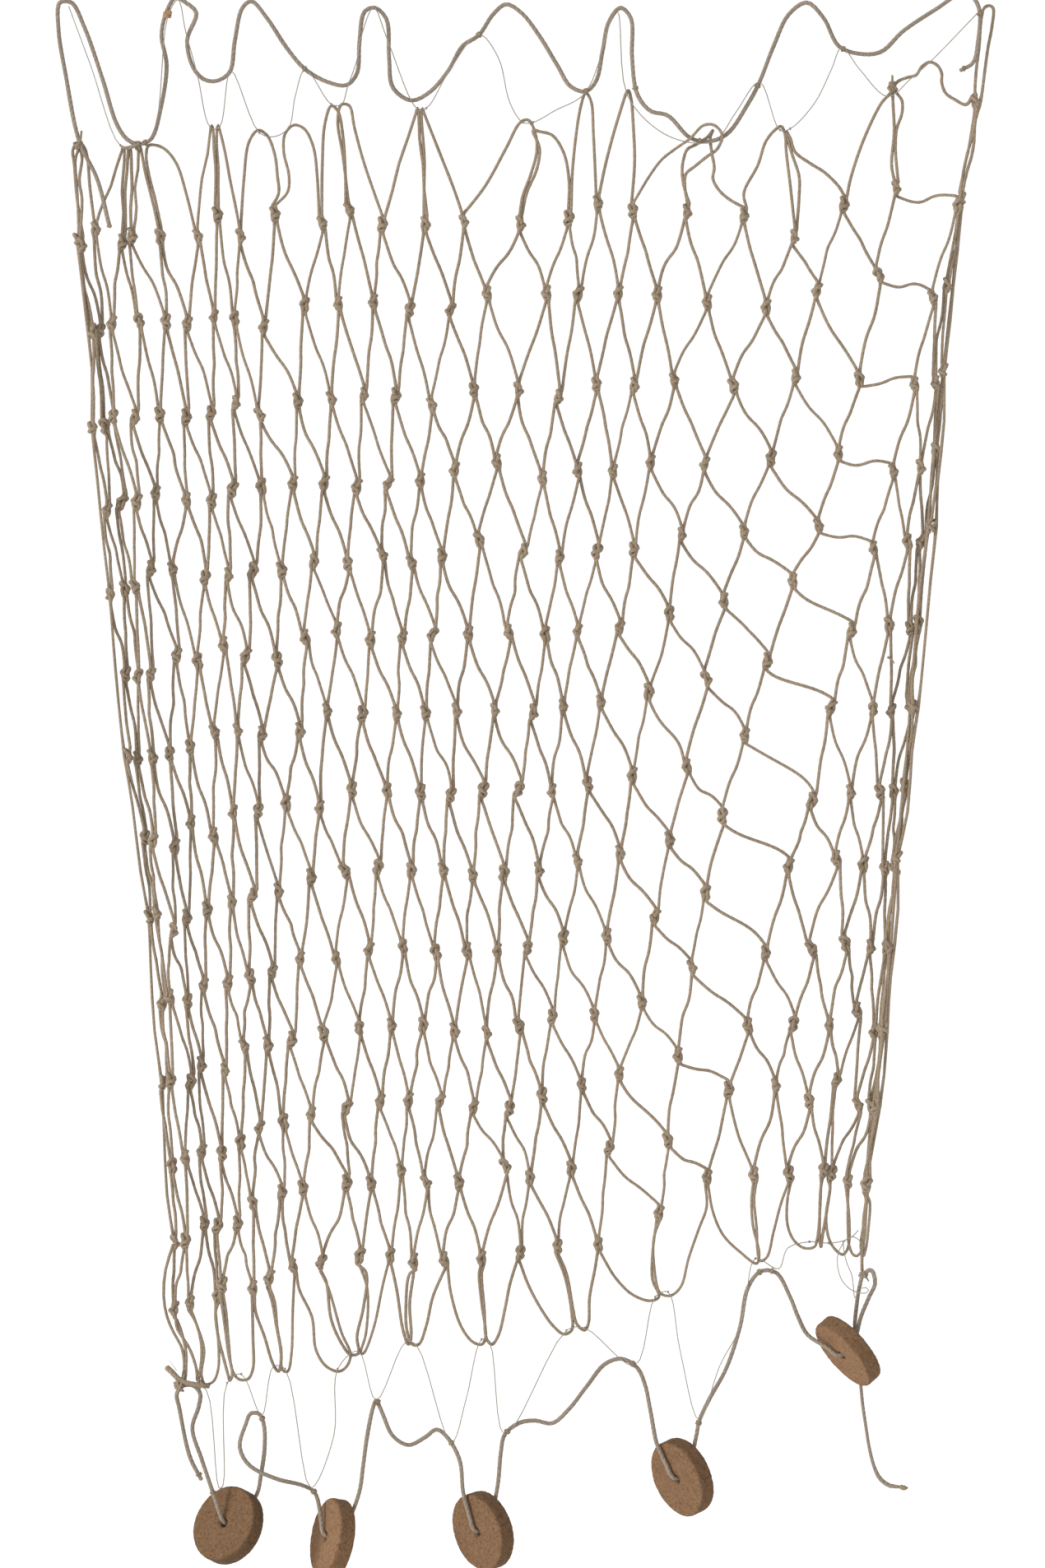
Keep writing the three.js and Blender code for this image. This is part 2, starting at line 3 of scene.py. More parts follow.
import bpy
import numpy as np
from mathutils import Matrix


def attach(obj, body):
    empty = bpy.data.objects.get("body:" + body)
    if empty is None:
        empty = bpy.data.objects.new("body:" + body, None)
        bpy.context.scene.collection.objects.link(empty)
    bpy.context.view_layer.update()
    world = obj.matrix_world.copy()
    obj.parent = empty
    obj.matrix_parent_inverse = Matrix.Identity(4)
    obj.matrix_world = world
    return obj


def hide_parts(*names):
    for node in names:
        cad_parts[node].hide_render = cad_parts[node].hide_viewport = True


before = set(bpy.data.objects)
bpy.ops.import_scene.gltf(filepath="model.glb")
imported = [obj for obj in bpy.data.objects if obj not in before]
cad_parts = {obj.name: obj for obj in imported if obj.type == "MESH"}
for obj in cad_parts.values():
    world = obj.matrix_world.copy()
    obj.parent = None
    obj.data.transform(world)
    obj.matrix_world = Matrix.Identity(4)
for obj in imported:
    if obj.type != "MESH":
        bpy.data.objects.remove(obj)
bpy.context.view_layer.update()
mm = 0.001
draw = np.random.default_rng(41)
print("frame loaded:", len(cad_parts), "pieces")

# camera, light and floor

studio = {
    "lookX": 0.0128,  # the view's middle
    "lookZ": -0.6048,
    "viewHeight": 1.2198,  # how much of the net's plane the view takes in
    "distance": 6.5,
    "floorZ": -1.34,
    "floorRadius": 40.0,
    "white": (0.96, 0.96, 0.955),
    "skyStrength": 0.72,  # as a light
    "skySeen": 1.05,  # where the camera sees it
    "floorGlow": 0.25,
    "sensorHeight": 24,
    # the way each light shines, its spread in degrees and its strength
    "lights": {"key light": ((0.85, 0.42, -0.22), 16, 2.0),
               "fill light": ((0.1, 1.0, -0.4), 60, 0.4)},
}


def addCamera(s):
    camera = bpy.data.objects.new("camera", bpy.data.cameras.new("camera"))
    bpy.context.scene.collection.objects.link(camera)
    camera.location = (s["lookX"], -s["distance"], s["lookZ"])
    camera.rotation_euler = (math.radians(90), 0, 0)
    camera.data.sensor_fit = "VERTICAL"
    camera.data.sensor_height = s["sensorHeight"]
    camera.data.lens = s["sensorHeight"] * s["distance"] / s["viewHeight"]
    camera.data.clip_end = 5 * s["floorRadius"]
    bpy.context.scene.camera = camera


def addSoftLight(name, direction, spread, strength):
    light = bpy.data.lights.new(name, "SUN")
    light.energy = strength
    light.angle = math.radians(spread)
    holder = bpy.data.objects.new(name, light)
    aim = np.array(direction) / np.linalg.norm(direction)
    holder.rotation_euler = (math.acos(-aim[2]), 0, math.atan2(aim[1], aim[0]) - math.pi / 2)
    bpy.context.scene.collection.objects.link(holder)


def addFloor(s):
    mesh = bpy.data.meshes.new("floor")
    r, z = s["floorRadius"], s["floorZ"]
    mesh.from_pydata([(-r, -r, z), (r, -r, z), (r, r, z), (-r, r, z)], [], [(0, 1, 2, 3)])
    floor = bpy.data.objects.new("floor", mesh)
    bpy.context.scene.collection.objects.link(floor)
    paint = bpy.data.materials.new("pale floor")
    paint.use_nodes = True
    shader = paint.node_tree.nodes["Principled BSDF"]
    shader.inputs["Base Color"].default_value = (*s["white"], 1)
    shader.inputs["Roughness"].default_value = 0.9
    shader.inputs["Emission Color"].default_value = (1, 1, 1, 1)
    shader.inputs["Emission Strength"].default_value = s["floorGlow"]
    mesh.materials.append(paint)


# The sky is white where the camera sees it and dimmer as a light, so that forms keep shade.
def setSky(s):
    world = bpy.data.worlds.new("studio")
    world.use_nodes = True
    tree = world.node_tree
    sky = tree.nodes["Background"]
    sky.inputs["Color"].default_value = (1, 1, 1, 1)
    seen = tree.nodes.new("ShaderNodeLightPath")
    strength = tree.nodes.new("ShaderNodeMapRange")
    strength.inputs["To Min"].default_value = s["skyStrength"]
    strength.inputs["To Max"].default_value = s["skySeen"]
    tree.links.new(seen.outputs["Is Camera Ray"], strength.inputs["Value"])
    tree.links.new(strength.outputs[0], sky.inputs["Strength"])
    bpy.context.scene.world = world
    bpy.context.scene.view_settings.view_transform = "Standard"


addCamera(studio)
addFloor(studio)
setSky(studio)
for name, facts in studio["lights"].items():
    addSoftLight(name, *facts)
print("camera, lights and floor ready")

# cord making: a path of points, a frame carried along it, and a lobed section round it


def unit(v):
    return v / np.maximum(np.linalg.norm(v, axis=-1, keepdims=True), 1e-12)


# A smooth path through points: between each two, a cubic whose end slopes come from the
# chords beside it, with each chord timed by the square root of its length.
def smoothPath(points, steps):
    p = np.asarray(points, float)
    p = np.vstack([2 * p[0] - p[1], p, 2 * p[-1] - p[-2]])
    gap = np.maximum(np.sqrt(np.linalg.norm(np.diff(p, axis=0), axis=1)), 1e-6)[:, None]
    a, b, c = gap[:-2], gap[1:-1], gap[2:]
    p0, p1, p2, p3 = p[:-3], p[1:-2], p[2:-1], p[3:]
    out = ((p1 - p0) / a - (p2 - p0) / (a + b) + (p2 - p1) / b) * b
    into = ((p2 - p1) / b - (p3 - p1) / (b + c) + (p3 - p2) / c) * b
    t = (np.arange(steps) / steps)[None, :, None]
    one, two, start, end = (v[:, None] for v in (p1, p2, out, into))
    curve = (one + t * start + t**2 * (3 * (two - one) - 2 * start - end)
             + t**3 * (2 * (one - two) + start + end))
    return np.vstack([curve.reshape(-1, 3), p[-2]])


def alongLength(path):
    return np.concatenate([[0], np.cumsum(np.linalg.norm(np.diff(path, axis=0), axis=1))])


# Two directions square to the path at each point. Each frame is the last one turned only
# as far as the path turns, found as the running sum of the turns of a rough frame.
def carriedFrames(path):
    t = unit(np.gradient(path, axis=0))
    n = unit(np.cross(t, (0.37, 0.81, 0.45)))
    b = np.cross(t, n)
    axis, cosine = np.cross(t[:-1], t[1:]), np.sum(t[:-1] * t[1:], axis=1, keepdims=True)
    lean = np.sum(axis * n[:-1], axis=1, keepdims=True) / np.maximum(1 + cosine, 1e-6)
    moved = n[:-1] * cosine + np.cross(axis, n[:-1]) + axis * lean
    turn = np.arctan2(np.sum(moved * b[1:], axis=1), np.sum(moved * n[1:], axis=1))
    angle = np.concatenate([[0], np.cumsum(turn)])[:, None]
    return n * np.cos(angle) + b * np.sin(angle), -n * np.sin(angle) + b * np.cos(angle)


endBulge = 0.5  # how far a tube's closed end stands out, in radii


# A closed tube: the section's radius is radius * (1 - groove + groove * |cos(plies / 2 *
# (turn - 2 pi * length / lay))|), so its plies wind round the path. The map's u is the
# share of the way round and its v the metres along.
def tube(path, radius, sides, plies=2, groove=0.0, lay=1.0):
    path = np.asarray(path, float)
    n, b = carriedFrames(path)
    s = alongLength(path)
    turn = 2 * math.pi * np.arange(sides) / sides
    wave = np.abs(np.cos(plies / 2 * (turn[None, :] - 2 * math.pi * s[:, None] / lay)))
    r = np.broadcast_to(radius, s.shape)[:, None] * (1 - groove + groove * wave)
    points = (path[:, None] + r[..., None] * (np.cos(turn)[None, :, None] * n[:, None]
              + np.sin(turn)[None, :, None] * b[:, None]))
    rings = len(path)
    ends = np.array([path[0] - unit(path[1] - path[0]) * r[0, 0] * endBulge,
                     path[-1] + unit(path[-1] - path[-2]) * r[-1, 0] * endBulge])
    i, k = np.meshgrid(np.arange(rings - 1), np.arange(sides), indexing="ij")
    k2 = (k + 1) % sides
    quads = np.stack([i * sides + k, i * sides + k2, (i + 1) * sides + k2,
                      (i + 1) * sides + k], -1).reshape(-1, 4)
    u0, u1 = k / sides, (k + 1) / sides
    v0, v1 = s[i], s[i + 1]
    quadMap = np.stack([np.stack([u0, v0], -1), np.stack([u1, v0], -1),
                        np.stack([u1, v1], -1), np.stack([u0, v1], -1)], -2).reshape(-1, 2)
    j = np.arange(sides)
    j2 = (j + 1) % sides
    first, last = rings * sides, rings * sides + 1
    tris = np.vstack([np.stack([j2, j, np.full(sides, first)], -1),
                      np.stack([j + (rings - 1) * sides, j2 + (rings - 1) * sides,
                                np.full(sides, last)], -1)])
    capS = np.repeat([s[0], s[-1]], sides)
    capU = np.tile(j / sides, 2)
    triMap = np.stack([np.stack([capU, capS], -1)] * 3, -2).reshape(-1, 2)
    return np.vstack([points.reshape(-1, 3), ends]), quads, tris, quadMap, triMap


# Joins tubes and other grids into one mesh object and gives it its material.
def makePiece(name, parts, material):
    points, loops, starts, maps = [], [], [], []
    base = corner = 0
    for v, quads, tris, quadMap, triMap in parts:
        points.append(v)
        loops += [(quads + base).ravel(), (tris + base).ravel()]
        starts += [corner + 4 * np.arange(len(quads)),
                   corner + 4 * len(quads) + 3 * np.arange(len(tris))]
        corner += 4 * len(quads) + 3 * len(tris)
        base += len(v)
        maps += [quadMap, triMap]
    points, loops, starts = np.vstack(points), np.concatenate(loops), np.concatenate(starts)
    mesh = bpy.data.meshes.new(name)
    mesh.vertices.add(len(points))
    mesh.vertices.foreach_set("co", points.ravel())
    mesh.loops.add(len(loops))
    mesh.loops.foreach_set("vertex_index", loops)
    mesh.polygons.add(len(starts))
    mesh.polygons.foreach_set("loop_start", starts)
    layer = mesh.uv_layers.new(name="alongAndRound")
    layer.data.foreach_set("uv", np.vstack(maps).ravel())
    mesh.update(calc_edges=True)
    mesh.validate()
    mesh.polygons.foreach_set("use_smooth", np.full(len(mesh.polygons), True))
    mesh.materials.append(material)
    piece = bpy.data.objects.new(name, mesh)
    bpy.context.scene.collection.objects.link(piece)
    return piece


# materials


def addNode(tree, kind, links=(), **settings):
    node = tree.nodes.new(kind)
    for key, value in settings.items():
        setattr(node, key, value)
    for socket, value in links:
        if isinstance(value, bpy.types.NodeSocket):
            tree.links.new(value, node.inputs[socket])
        else:
            node.inputs[socket].default_value = value
    return node


def doMath(tree, operation, a, b=0.0):
    return addNode(tree, "ShaderNodeMath", [(0, a), (1, b)], operation=operation).outputs[0]


# Mixes two colours: the factor, both colours and the result are this node's colour sockets.
def addMix(tree, factor, a, b):
    return addNode(tree, "ShaderNodeMix", [(0, factor), (6, a), (7, b)],
                   data_type="RGBA").outputs[2]


def addNoise(tree, place, scale, detail, roughness=0.5):
    return addNode(tree, "ShaderNodeTexNoise", [("Vector", place), ("Scale", scale),
                                                ("Detail", detail), ("Roughness", roughness)])


# Spreads a value between two limits over another range, and keeps it inside that.
def spread(tree, value, low, high, start=0.0, end=1.0):
    return addNode(tree, "ShaderNodeMapRange",
                   [("Value", value), ("From Min", low), ("From Max", high),
                    ("To Min", start), ("To Max", end)]).outputs[0]


def scaleVector(tree, vector, factor):
    return addNode(tree, "ShaderNodeVectorMath", [(0, vector), ("Scale", factor)],
                   operation="SCALE").outputs[0]


def newGroup(name, inputs, outputs):
    group = bpy.data.node_groups.new(name, "ShaderNodeTree")
    for label, value in inputs:
        kind = "NodeSocketColor" if hasattr(value, "__len__") else "NodeSocketFloat"
        socket = group.interface.new_socket(label, in_out="INPUT", socket_type=kind)
        socket.default_value = value
    for label, kind in outputs:
        group.interface.new_socket(label, in_out="OUTPUT", socket_type=kind)
    return (group, group.nodes.new("NodeGroupInput").outputs,
            group.nodes.new("NodeGroupOutput").inputs)


fibreGrain = {
    "hairs": 7.0, "alongHairs": 60, "specks": 900.0,
    # grooveShade is the painted shade in the groove between the plies
    "warmShare": 0.55, "paleShare": 0.6, "grooveShade": 0.28, "freckle": (0.8, 1.2),
}


# Fibres laid in winding plies: a groove between the plies, painted darker as the shade that falls
# in it, fine hairs along the twist, and patches of warmer, darker and paler fibre. It follows the
# piece's own map, round and along.
def makeFibreGroup(grain):
    group, given, result = newGroup(
        "windingFibres",
        [("Plies", 2.0), ("Lay", 0.009), ("Hair", 1.0), ("Patch", 30.0),
         ("Base", (0.3, 0.25, 0.18, 1)), ("Dark", (0.17, 0.12, 0.08, 1)),
         ("Pale", (0.45, 0.41, 0.33, 1))],
        [("Color", "NodeSocketColor"), ("Height", "NodeSocketFloat")])
    chart = addNode(group, "ShaderNodeUVMap", uv_map="alongAndRound")
    split = addNode(group, "ShaderNodeSeparateXYZ", [(0, chart.outputs[0])])
    wound = doMath(group, "SUBTRACT", split.outputs[0],
                   doMath(group, "DIVIDE", split.outputs[1], given["Lay"]))
    swing = doMath(group, "MULTIPLY", doMath(group, "MULTIPLY", wound, given["Plies"]), math.pi)
    crown = doMath(group, "ABSOLUTE", doMath(group, "COSINE", swing))
    angle = doMath(group, "MULTIPLY", wound, 2 * math.pi)
    lie = addNode(group, "ShaderNodeCombineXYZ",
                  [(0, doMath(group, "COSINE", angle)), (1, doMath(group, "SINE", angle)),
                   (2, doMath(group, "MULTIPLY", split.outputs[1], grain["alongHairs"]))])
    place = addNode(group, "ShaderNodeTexCoord").outputs["Object"]
    hairs = addNoise(group, lie.outputs[0], grain["hairs"], 3.0, 0.7).outputs[0]
    patches = addNoise(group, place, given["Patch"], 3.0).outputs[0]
    specks = addNoise(group, place, grain["specks"], 2.0).outputs[0]
    warm = doMath(group, "MULTIPLY", spread(group, patches, 0.38, 0.7), grain["warmShare"])
    pale = doMath(group, "MULTIPLY", spread(group, hairs, 0.5, 0.75), grain["paleShare"])
    # painted shade: the groove between the plies is darkened towards the dark colour
    dark = spread(group, crown, 0.0, 0.45, grain["grooveShade"], 0.0)
    mixed = addMix(group, warm, given["Base"], given["Dark"])
    mixed = addMix(group, pale, mixed, given["Pale"])
    mixed = addMix(group, dark, mixed, given["Dark"])
    mixed = scaleVector(group, mixed, spread(group, specks, 0.3, 0.7, *grain["freckle"]))
    group.links.new(mixed, result["Color"])
    height = doMath(group, "ADD", crown, doMath(group, "MULTIPLY", hairs, given["Hair"]))
    group.links.new(height, result["Height"])
    return group


def newMaterial(name, roughness):
    material = bpy.data.materials.new(name)
    material.use_nodes = True
    shader = material.node_tree.nodes["Principled BSDF"]
    shader.inputs["Roughness"].default_value = roughness
    return material, material.node_tree, shader


fibreGroup = makeFibreGroup(fibreGrain)


def makeFibre(look):
    material, tree, shader = newMaterial(look["name"], 0.92)
    fibres = addNode(tree, "ShaderNodeGroup", node_tree=fibreGroup)
    for socket in ("Plies", "Lay", "Hair", "Patch"):
        fibres.inputs[socket].default_value = look[socket.lower()]
    for socket in ("Base", "Dark", "Pale"):
        fibres.inputs[socket].default_value = (*look[socket.lower()], 1)
    bump = addNode(tree, "ShaderNodeBump",
                   [("Height", fibres.outputs["Height"]), ("Strength", look["bump"]),
                    ("Distance", look["depth"])])
    tree.links.new(fibres.outputs["Color"], shader.inputs["Base Color"])
    tree.links.new(bump.outputs[0], shader.inputs["Normal"])
    shader.inputs["Sheen Weight"].default_value = look["sheen"]
    shader.inputs["Specular IOR Level"].default_value = 0.2
    return material


twineLook = {
    "name": "jute twine", "plies": 2.0, "lay": 0.008, "hair": 0.6, "patch": 28.0,
    "base": (0.284, 0.217, 0.149), "dark": (0.178, 0.125, 0.079), "pale": (0.41, 0.342, 0.264),
    "bump": 0.6, "depth": 0.0006, "sheen": 0.15,
}
ropeLook = {
    "name": "jute rope", "plies": 3.0, "lay": 0.013, "hair": 0.7, "patch": 22.0,
    "base": (0.283, 0.229, 0.175), "dark": (0.19, 0.145, 0.106), "pale": (0.39, 0.335, 0.276),
    "bump": 0.7, "depth": 0.0008, "sheen": 0.15,
}
threadLook = {
    "name": "lacing thread", "plies": 2.0, "lay": 0.003, "hair": 0.4, "patch": 40.0,
    "base": (0.3, 0.265, 0.215), "dark": (0.2, 0.165, 0.125), "pale": (0.42, 0.38, 0.33),
    "bump": 0.3, "depth": 0.0002, "sheen": 0.1,
}
tieLook = {
    "name": "tie thread", "plies": 2.0, "lay": 0.002, "hair": 0.4, "patch": 60.0,
    "base": (0.29, 0.22, 0.135), "dark": (0.17, 0.11, 0.06), "pale": (0.42, 0.37, 0.29),
    "bump": 0.4, "depth": 0.0002, "sheen": 0.1,
}
brownLook = dict(tieLook, name="brown binding", base=(0.34, 0.2, 0.105), dark=(0.2, 0.11, 0.055),
                 pale=(0.45, 0.3, 0.18))
twine, rope, thread, tieThread, brownThread = (
    makeFibre(look) for look in (twineLook, ropeLook, threadLook, tieLook, brownLook))
print("fibre materials ready")


# Pressed cork: granules of a millimetre or two in close browns, darker gaps and specks between
# them, and a rim darker than the faces where the piece's own map says so, partly for its sawn
# grain and partly as painted shade on rims that face away from the light. Its u is the rim's share
# and its v how light the whole piece is painted, partly its own tone and partly painted light.
def makeCork(look):
    material, tree, shader = newMaterial(look["name"], 0.9)
    place = addNode(tree, "ShaderNodeTexCoord").outputs["Object"]
    stir = addNoise(tree, place, look["stir"], 2.0).outputs["Color"]
    moved = addNode(tree, "ShaderNodeVectorMath",
                    [(0, place), (1, scaleVector(tree, stir, look["stirred"]))],
                    operation="ADD").outputs[0]
    heights, tones = [], []
    for scale in (look["coarse"], look["fine"]):
        grains = [("Vector", moved), ("Scale", scale)]
        cells = addNode(tree, "ShaderNodeTexVoronoi", grains)
        edges = addNode(tree, "ShaderNodeTexVoronoi", grains, feature="DISTANCE_TO_EDGE")
        tone = addNode(tree, "ShaderNodeSeparateColor", [(0, cells.outputs["Color"])])
        tones.append(tone.outputs[0])
        heights.append(spread(tree, edges.outputs["Distance"], 0.0, 0.12))
    base, pale, dark, deep = ((*look[k], 1) for k in ("base", "pale", "dark", "deep"))
    ramp = addNode(tree, "ShaderNodeValToRGB", [(0, tones[0])])
    stops = ramp.color_ramp.elements
    stops[0].color, stops[1].color = dark, pale
    for spot, colour in ((0.12, deep), (0.6, base)):
        stop = stops.new(spot)
        stop.color = colour
    mixed = addMix(tree, doMath(tree, "MULTIPLY", tones[1], 0.5), ramp.outputs[0], base)
    gap = doMath(tree, "MULTIPLY", doMath(tree, "SUBTRACT", 1.0, heights[0]), look["gapShade"])
    mixed = addMix(tree, gap, mixed, dark)
    specks = addNoise(tree, place, look["specks"], 3.0).outputs[0]
    mixed = addMix(tree, spread(tree, specks, 0.62, 0.7, 0.0, 0.5), mixed, dark)
    chart = addNode(tree, "ShaderNodeUVMap", uv_map="alongAndRound")
    chart = addNode(tree, "ShaderNodeSeparateXYZ", [(0, chart.outputs[0])])
    # painted shade: the rim is darkened, partly for its sawn grain and partly as shade on rims
    # turned away from the light; then the whole piece is scaled by its painted lightness
    rimToneAndPaintedShade = doMath(tree, "MULTIPLY", chart.outputs[0], look["rimToneAndPaintedShade"])
    shade = doMath(tree, "MULTIPLY", doMath(tree, "SUBTRACT", 1.0, rimToneAndPaintedShade), chart.outputs[1])
    tree.links.new(scaleVector(tree, mixed, shade), shader.inputs["Base Color"])
    height = doMath(tree, "ADD", heights[0], doMath(tree, "MULTIPLY", heights[1], 0.4))
    height = doMath(tree, "ADD", height, doMath(tree, "MULTIPLY", specks, 0.8))
    bump = addNode(tree, "ShaderNodeBump", [("Height", height), ("Strength", look["bump"]),
                                            ("Distance", look["depth"])])
    tree.links.new(bump.outputs[0], shader.inputs["Normal"])
    shader.inputs["Specular IOR Level"].default_value = 0.2
    return material


corkLook = {
    "name": "pressed cork", "coarse": 650.0, "fine": 1500.0, "specks": 700.0,
    # the rim's darkening is partly its sawn grain and partly painted shade
    "stir": 260.0, "stirred": 0.0016, "rimToneAndPaintedShade": 0.26, "gapShade": 0.2,
    "base": (0.218, 0.123, 0.063), "pale": (0.255, 0.152, 0.083),
    "dark": (0.11, 0.057, 0.027), "deep": (0.17, 0.089, 0.044),
    "bump": 0.6, "depth": 0.0003,
}
cork = makeCork(corkLook)

# ropes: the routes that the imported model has, in millimetres as x and z, with the depth
# third where it isn't 0

ropeSize = {
    "radius": 1.7, "groove": 0.1, "plies": 3, "sides": 12, "step": 1.1,
    "lay": 0.0125,  # metres for one turn of the plies
    "wear": (0.05, 0.11, 0.043),  # unevenness, as a share of the radius, and its two waves
    # thickness at distances from the end: the head rope's is even, and the foot rope's
    # free end is worn thin behind a knob
    "headTail": ((0, 1), (1, 1)),
    "footTail": ((0, 3, 8, 18, 28, 105, 130), (0.75, 0.95, 1.1, 1.05, 0.82, 0.82, 1)),
}
headRoute = [
    # free end, corner knot, first nail
    [-308, -172, -5], [-318, -134, -5], [-330, -110, -2], [-335, -94], [-342, -56], [-348, -19],
    [-347, 3], [-338, 3],
    # first swag, the deepest
    [-328, -16], [-314, -56], [-303, -91], [-295, -103], [-286, -107], [-276, -103],
    [-269, -81], [-264, -46], [-268, -22], [-264, -4], [-257, 7], [-249, 3],
    [-241, -5], [-248, -26], [-244, -46], [-236, -56], [-226, -58], [-215, -51],
    [-211, -27], [-205, -1], [-198, 4],
    [-186, -9], [-170, -33], [-156, -49], [-138, -59], [-124, -61], [-116, -52],
    [-114, -27], [-110, -4], [-102, -1],
    [-93, -10], [-91, -40], [-88, -63], [-74, -73], [-60, -67], [-45, -50],
    [-34, -31], [-21, -22], [-10, -6],
    # middle hump, on the nail at the origin
    [0, 1.7], [12, -5], [26, -23], [40, -46], [50, -62], [62, -66],
    [70, -58], [75, -35], [80, -12], [89, -1],
    [97, -9], [98, -40], [102, -68], [112, -81], [126, -85], [143, -102],
    [157, -105], [172, -99], [188, -76], [197, -59], [208, -31], [220, -6], [234, 3],
    # last swag, last nail and free end
    [247, -9], [259, -31], [277, -37], [292, -35], [309, -19], [336, -1],
    [352, 9], [362, 8], [368, -3, -3], [367, -27, -3], [363, -44, -3], [353, -50, -3],
]
# the foot rope's stretches lie before, between and after the floats
footRoute = [
    [
        [-237, -1146], [-246, -1128], [-254, -1091], [-256, -1079], [-251, -1073], [-243, -1073],
        [-238, -1079], [-239, -1089], [-244, -1106], [-237, -1129, -2],
    ],
    [
        [-191, -1144, 3], [-188, -1123, 4], [-188.5, -1103, 1], [-192, -1095], [-198.5, -1094.5],
        [-202.5, -1103, -2], [-207, -1120, -4], [-200, -1134, -4], [-179, -1145, -2],
        [-158, -1151, 5], [-149, -1157, 10],
    ],
    [
        [-114, -1155, -3], [-111, -1134, -2], [-108, -1112], [-103.2, -1089], [-100.8, -1084],
        [-98.4, -1089], [-95.5, -1096], [-88, -1112], [-76, -1119], [-63, -1113], [-54, -1107],
        [-45, -1114], [-36, -1131, -3],
    ],
    [
        [-6, -1146, -8], [-4, -1124, -4], [-1, -1111], [10, -1102], [22, -1100], [36, -1102],
        [49, -1091], [63, -1073], [77, -1056], [90, -1052], [102, -1059], [108, -1072],
        [112, -1091], [115, -1108, -2],
    ],
    [
        [150, -1100, -8], [158, -1083, -4], [171, -1060], [182, -1027], [188, -997],
        [198, -984], [210, -985], [221, -1004], [227, -1019, 2], [235, -1034, 8],
    ],
    [
        [276, -1020, 4], [282, -1005, 2], [287, -993], [284, -983, -1], [278, -986, -1],
        [275, -996, 2], [273, -1011, 9], [272, -1027, 17], [274, -1046, 25], [276, -1061, 29],
        [277, -1075, 26], [278, -1089, 15], [280.5, -1108, 5], [282.5, -1121, 2], [286.5, -1136.5],
        [291, -1145.2], [297.5, -1150.2], [302, -1151.2], [305.5, -1151.6],
    ],
]
corkFloat = {
    "radius": 31, "thickness": 13.5, "bore": 3,  # the bore is the hole's radius
    "edge": 2.1,  # rounding of the rim
    "flare": 3,  # and of the hole's mouths
    "seat": 2.0,  # the rope's middle above a face that it bears on
    "gap": 0.4,  # more than that where it bends round the mouth
    "nearBore": 12,  # where the rope has a point on the face, from the hole's middle
    # middle of each front face, how far the face is turned from the front, its lean and how light
    # its cork is painted: partly its own tone and partly painted light, lighter the further the
    # face turns towards the light at the left
    "places": [(-220, -1179, 45, 32, 0.82), (-141, -1190, 68, 12, 1.15),
               (-23, -1187, 52, -15, 0.91), (132, -1146, 55, -22, 0.95),
               (261, -1050, 71, -40, 1.12)],
}


def routePoints(route):
    return np.array([(p[0], p[2] if len(p) > 2 else 0.0, p[1]) for p in route], float)


def floatAxis(place):
    away, tip = math.radians(place[2]), math.radians(place[3])
    return np.array([-math.sin(away) * math.cos(tip), -math.cos(away),
                     math.sin(away) * math.sin(tip)])


def floatMiddle(place):
    axis = floatAxis(place)
    return np.array([place[0], 0, place[1]]) - axis * (1, 0, 1) * corkFloat["thickness"] / 2


# One side of a float's hole: the rope runs straight where it clears the face, lies on the
# face where it does not, and bends round the hole's flared edge.
def ropeToBore(middle, axis, outside):
    c = corkFloat
    mouth = middle + axis * c["thickness"] / 2
    height = np.dot(outside - mouth, axis)
    across = outside - mouth - axis * height
    reach = np.linalg.norm(across)
    across = across / reach
    bend, hub = c["flare"] + c["seat"] + c["gap"], c["bore"] + c["flare"]
    half = math.sqrt(0.5) * bend
    spots = [(r, max(bend - c["flare"], height * r / reach))
             for r in (c["radius"] + c["seat"], c["nearBore"], hub) if r <= 0.8 * reach]
    spots += [(hub - half, half - c["flare"]), (hub - bend, -c["flare"])]
    return [mouth + across * r + axis * h for r, h in spots]


def footPath():
    points = list(routePoints(footRoute[0]))
    for place, stretch in zip(corkFloat["places"], footRoute[1:]):
        after = list(routePoints(stretch))
        axis, middle = floatAxis(place), floatMiddle(place)
        points += ropeToBore(middle, axis, points[-1])
        points += ropeToBore(middle, -axis, after[0])[::-1] + after
    return np.array(points)


# Points at an even step along a path.
def evenly(path, step):
    s = alongLength(path)
    at = np.linspace(0, s[-1], max(2, round(s[-1] / step) + 1))
    return np.stack([np.interp(at, s, path[:, k]) for k in range(3)], -1)


# The tail says how thick the rope is at distances from its end.
def layRope(path, tail):
    fine = evenly(smoothPath(path, 8), ropeSize["step"])
    s = alongLength(fine)
    share, shortWave, longWave = ropeSize["wear"]
    worn = 1 + share * np.sin(s * shortWave) * np.sin(s * longWave)
    worn = worn * np.interp(s[-1] - s, *tail)
    return fine, tube(fine * mm, ropeSize["radius"] * worn * mm, ropeSize["sides"],
                      ropeSize["plies"], ropeSize["groove"], ropeSize["lay"])


headPath, footLine = routePoints(headRoute), footPath()
headFine, headTube = layRope(headPath, ropeSize["headTail"])
footFine, footTube = layRope(footLine, ropeSize["footTail"])
ropePieces = {
    "headRopeStrand": {"tube": headTube, "path": headFine, "node": "head_rope",
                       "length": 1.65, "farEnd": "bare"},
    "footRopeStrand": {"tube": footTube, "path": footFine, "node": "foot_rope",
                       "length": 1.61, "farEnd": "bare"},
}
for name, facts in ropePieces.items():
    piece = makePiece(name, [facts["tube"]], rope)
    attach(piece, "hung_net")
    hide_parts(facts["node"])
    facts["piece"] = piece
print("ropes laid:", {k: round(alongLength(v["path"])[-1] * mm, 3) for k, v in ropePieces.items()})

# lacing threads: x, z and the seat, which is what the thread is tied on there or its own
# depth; it hangs free where none is given

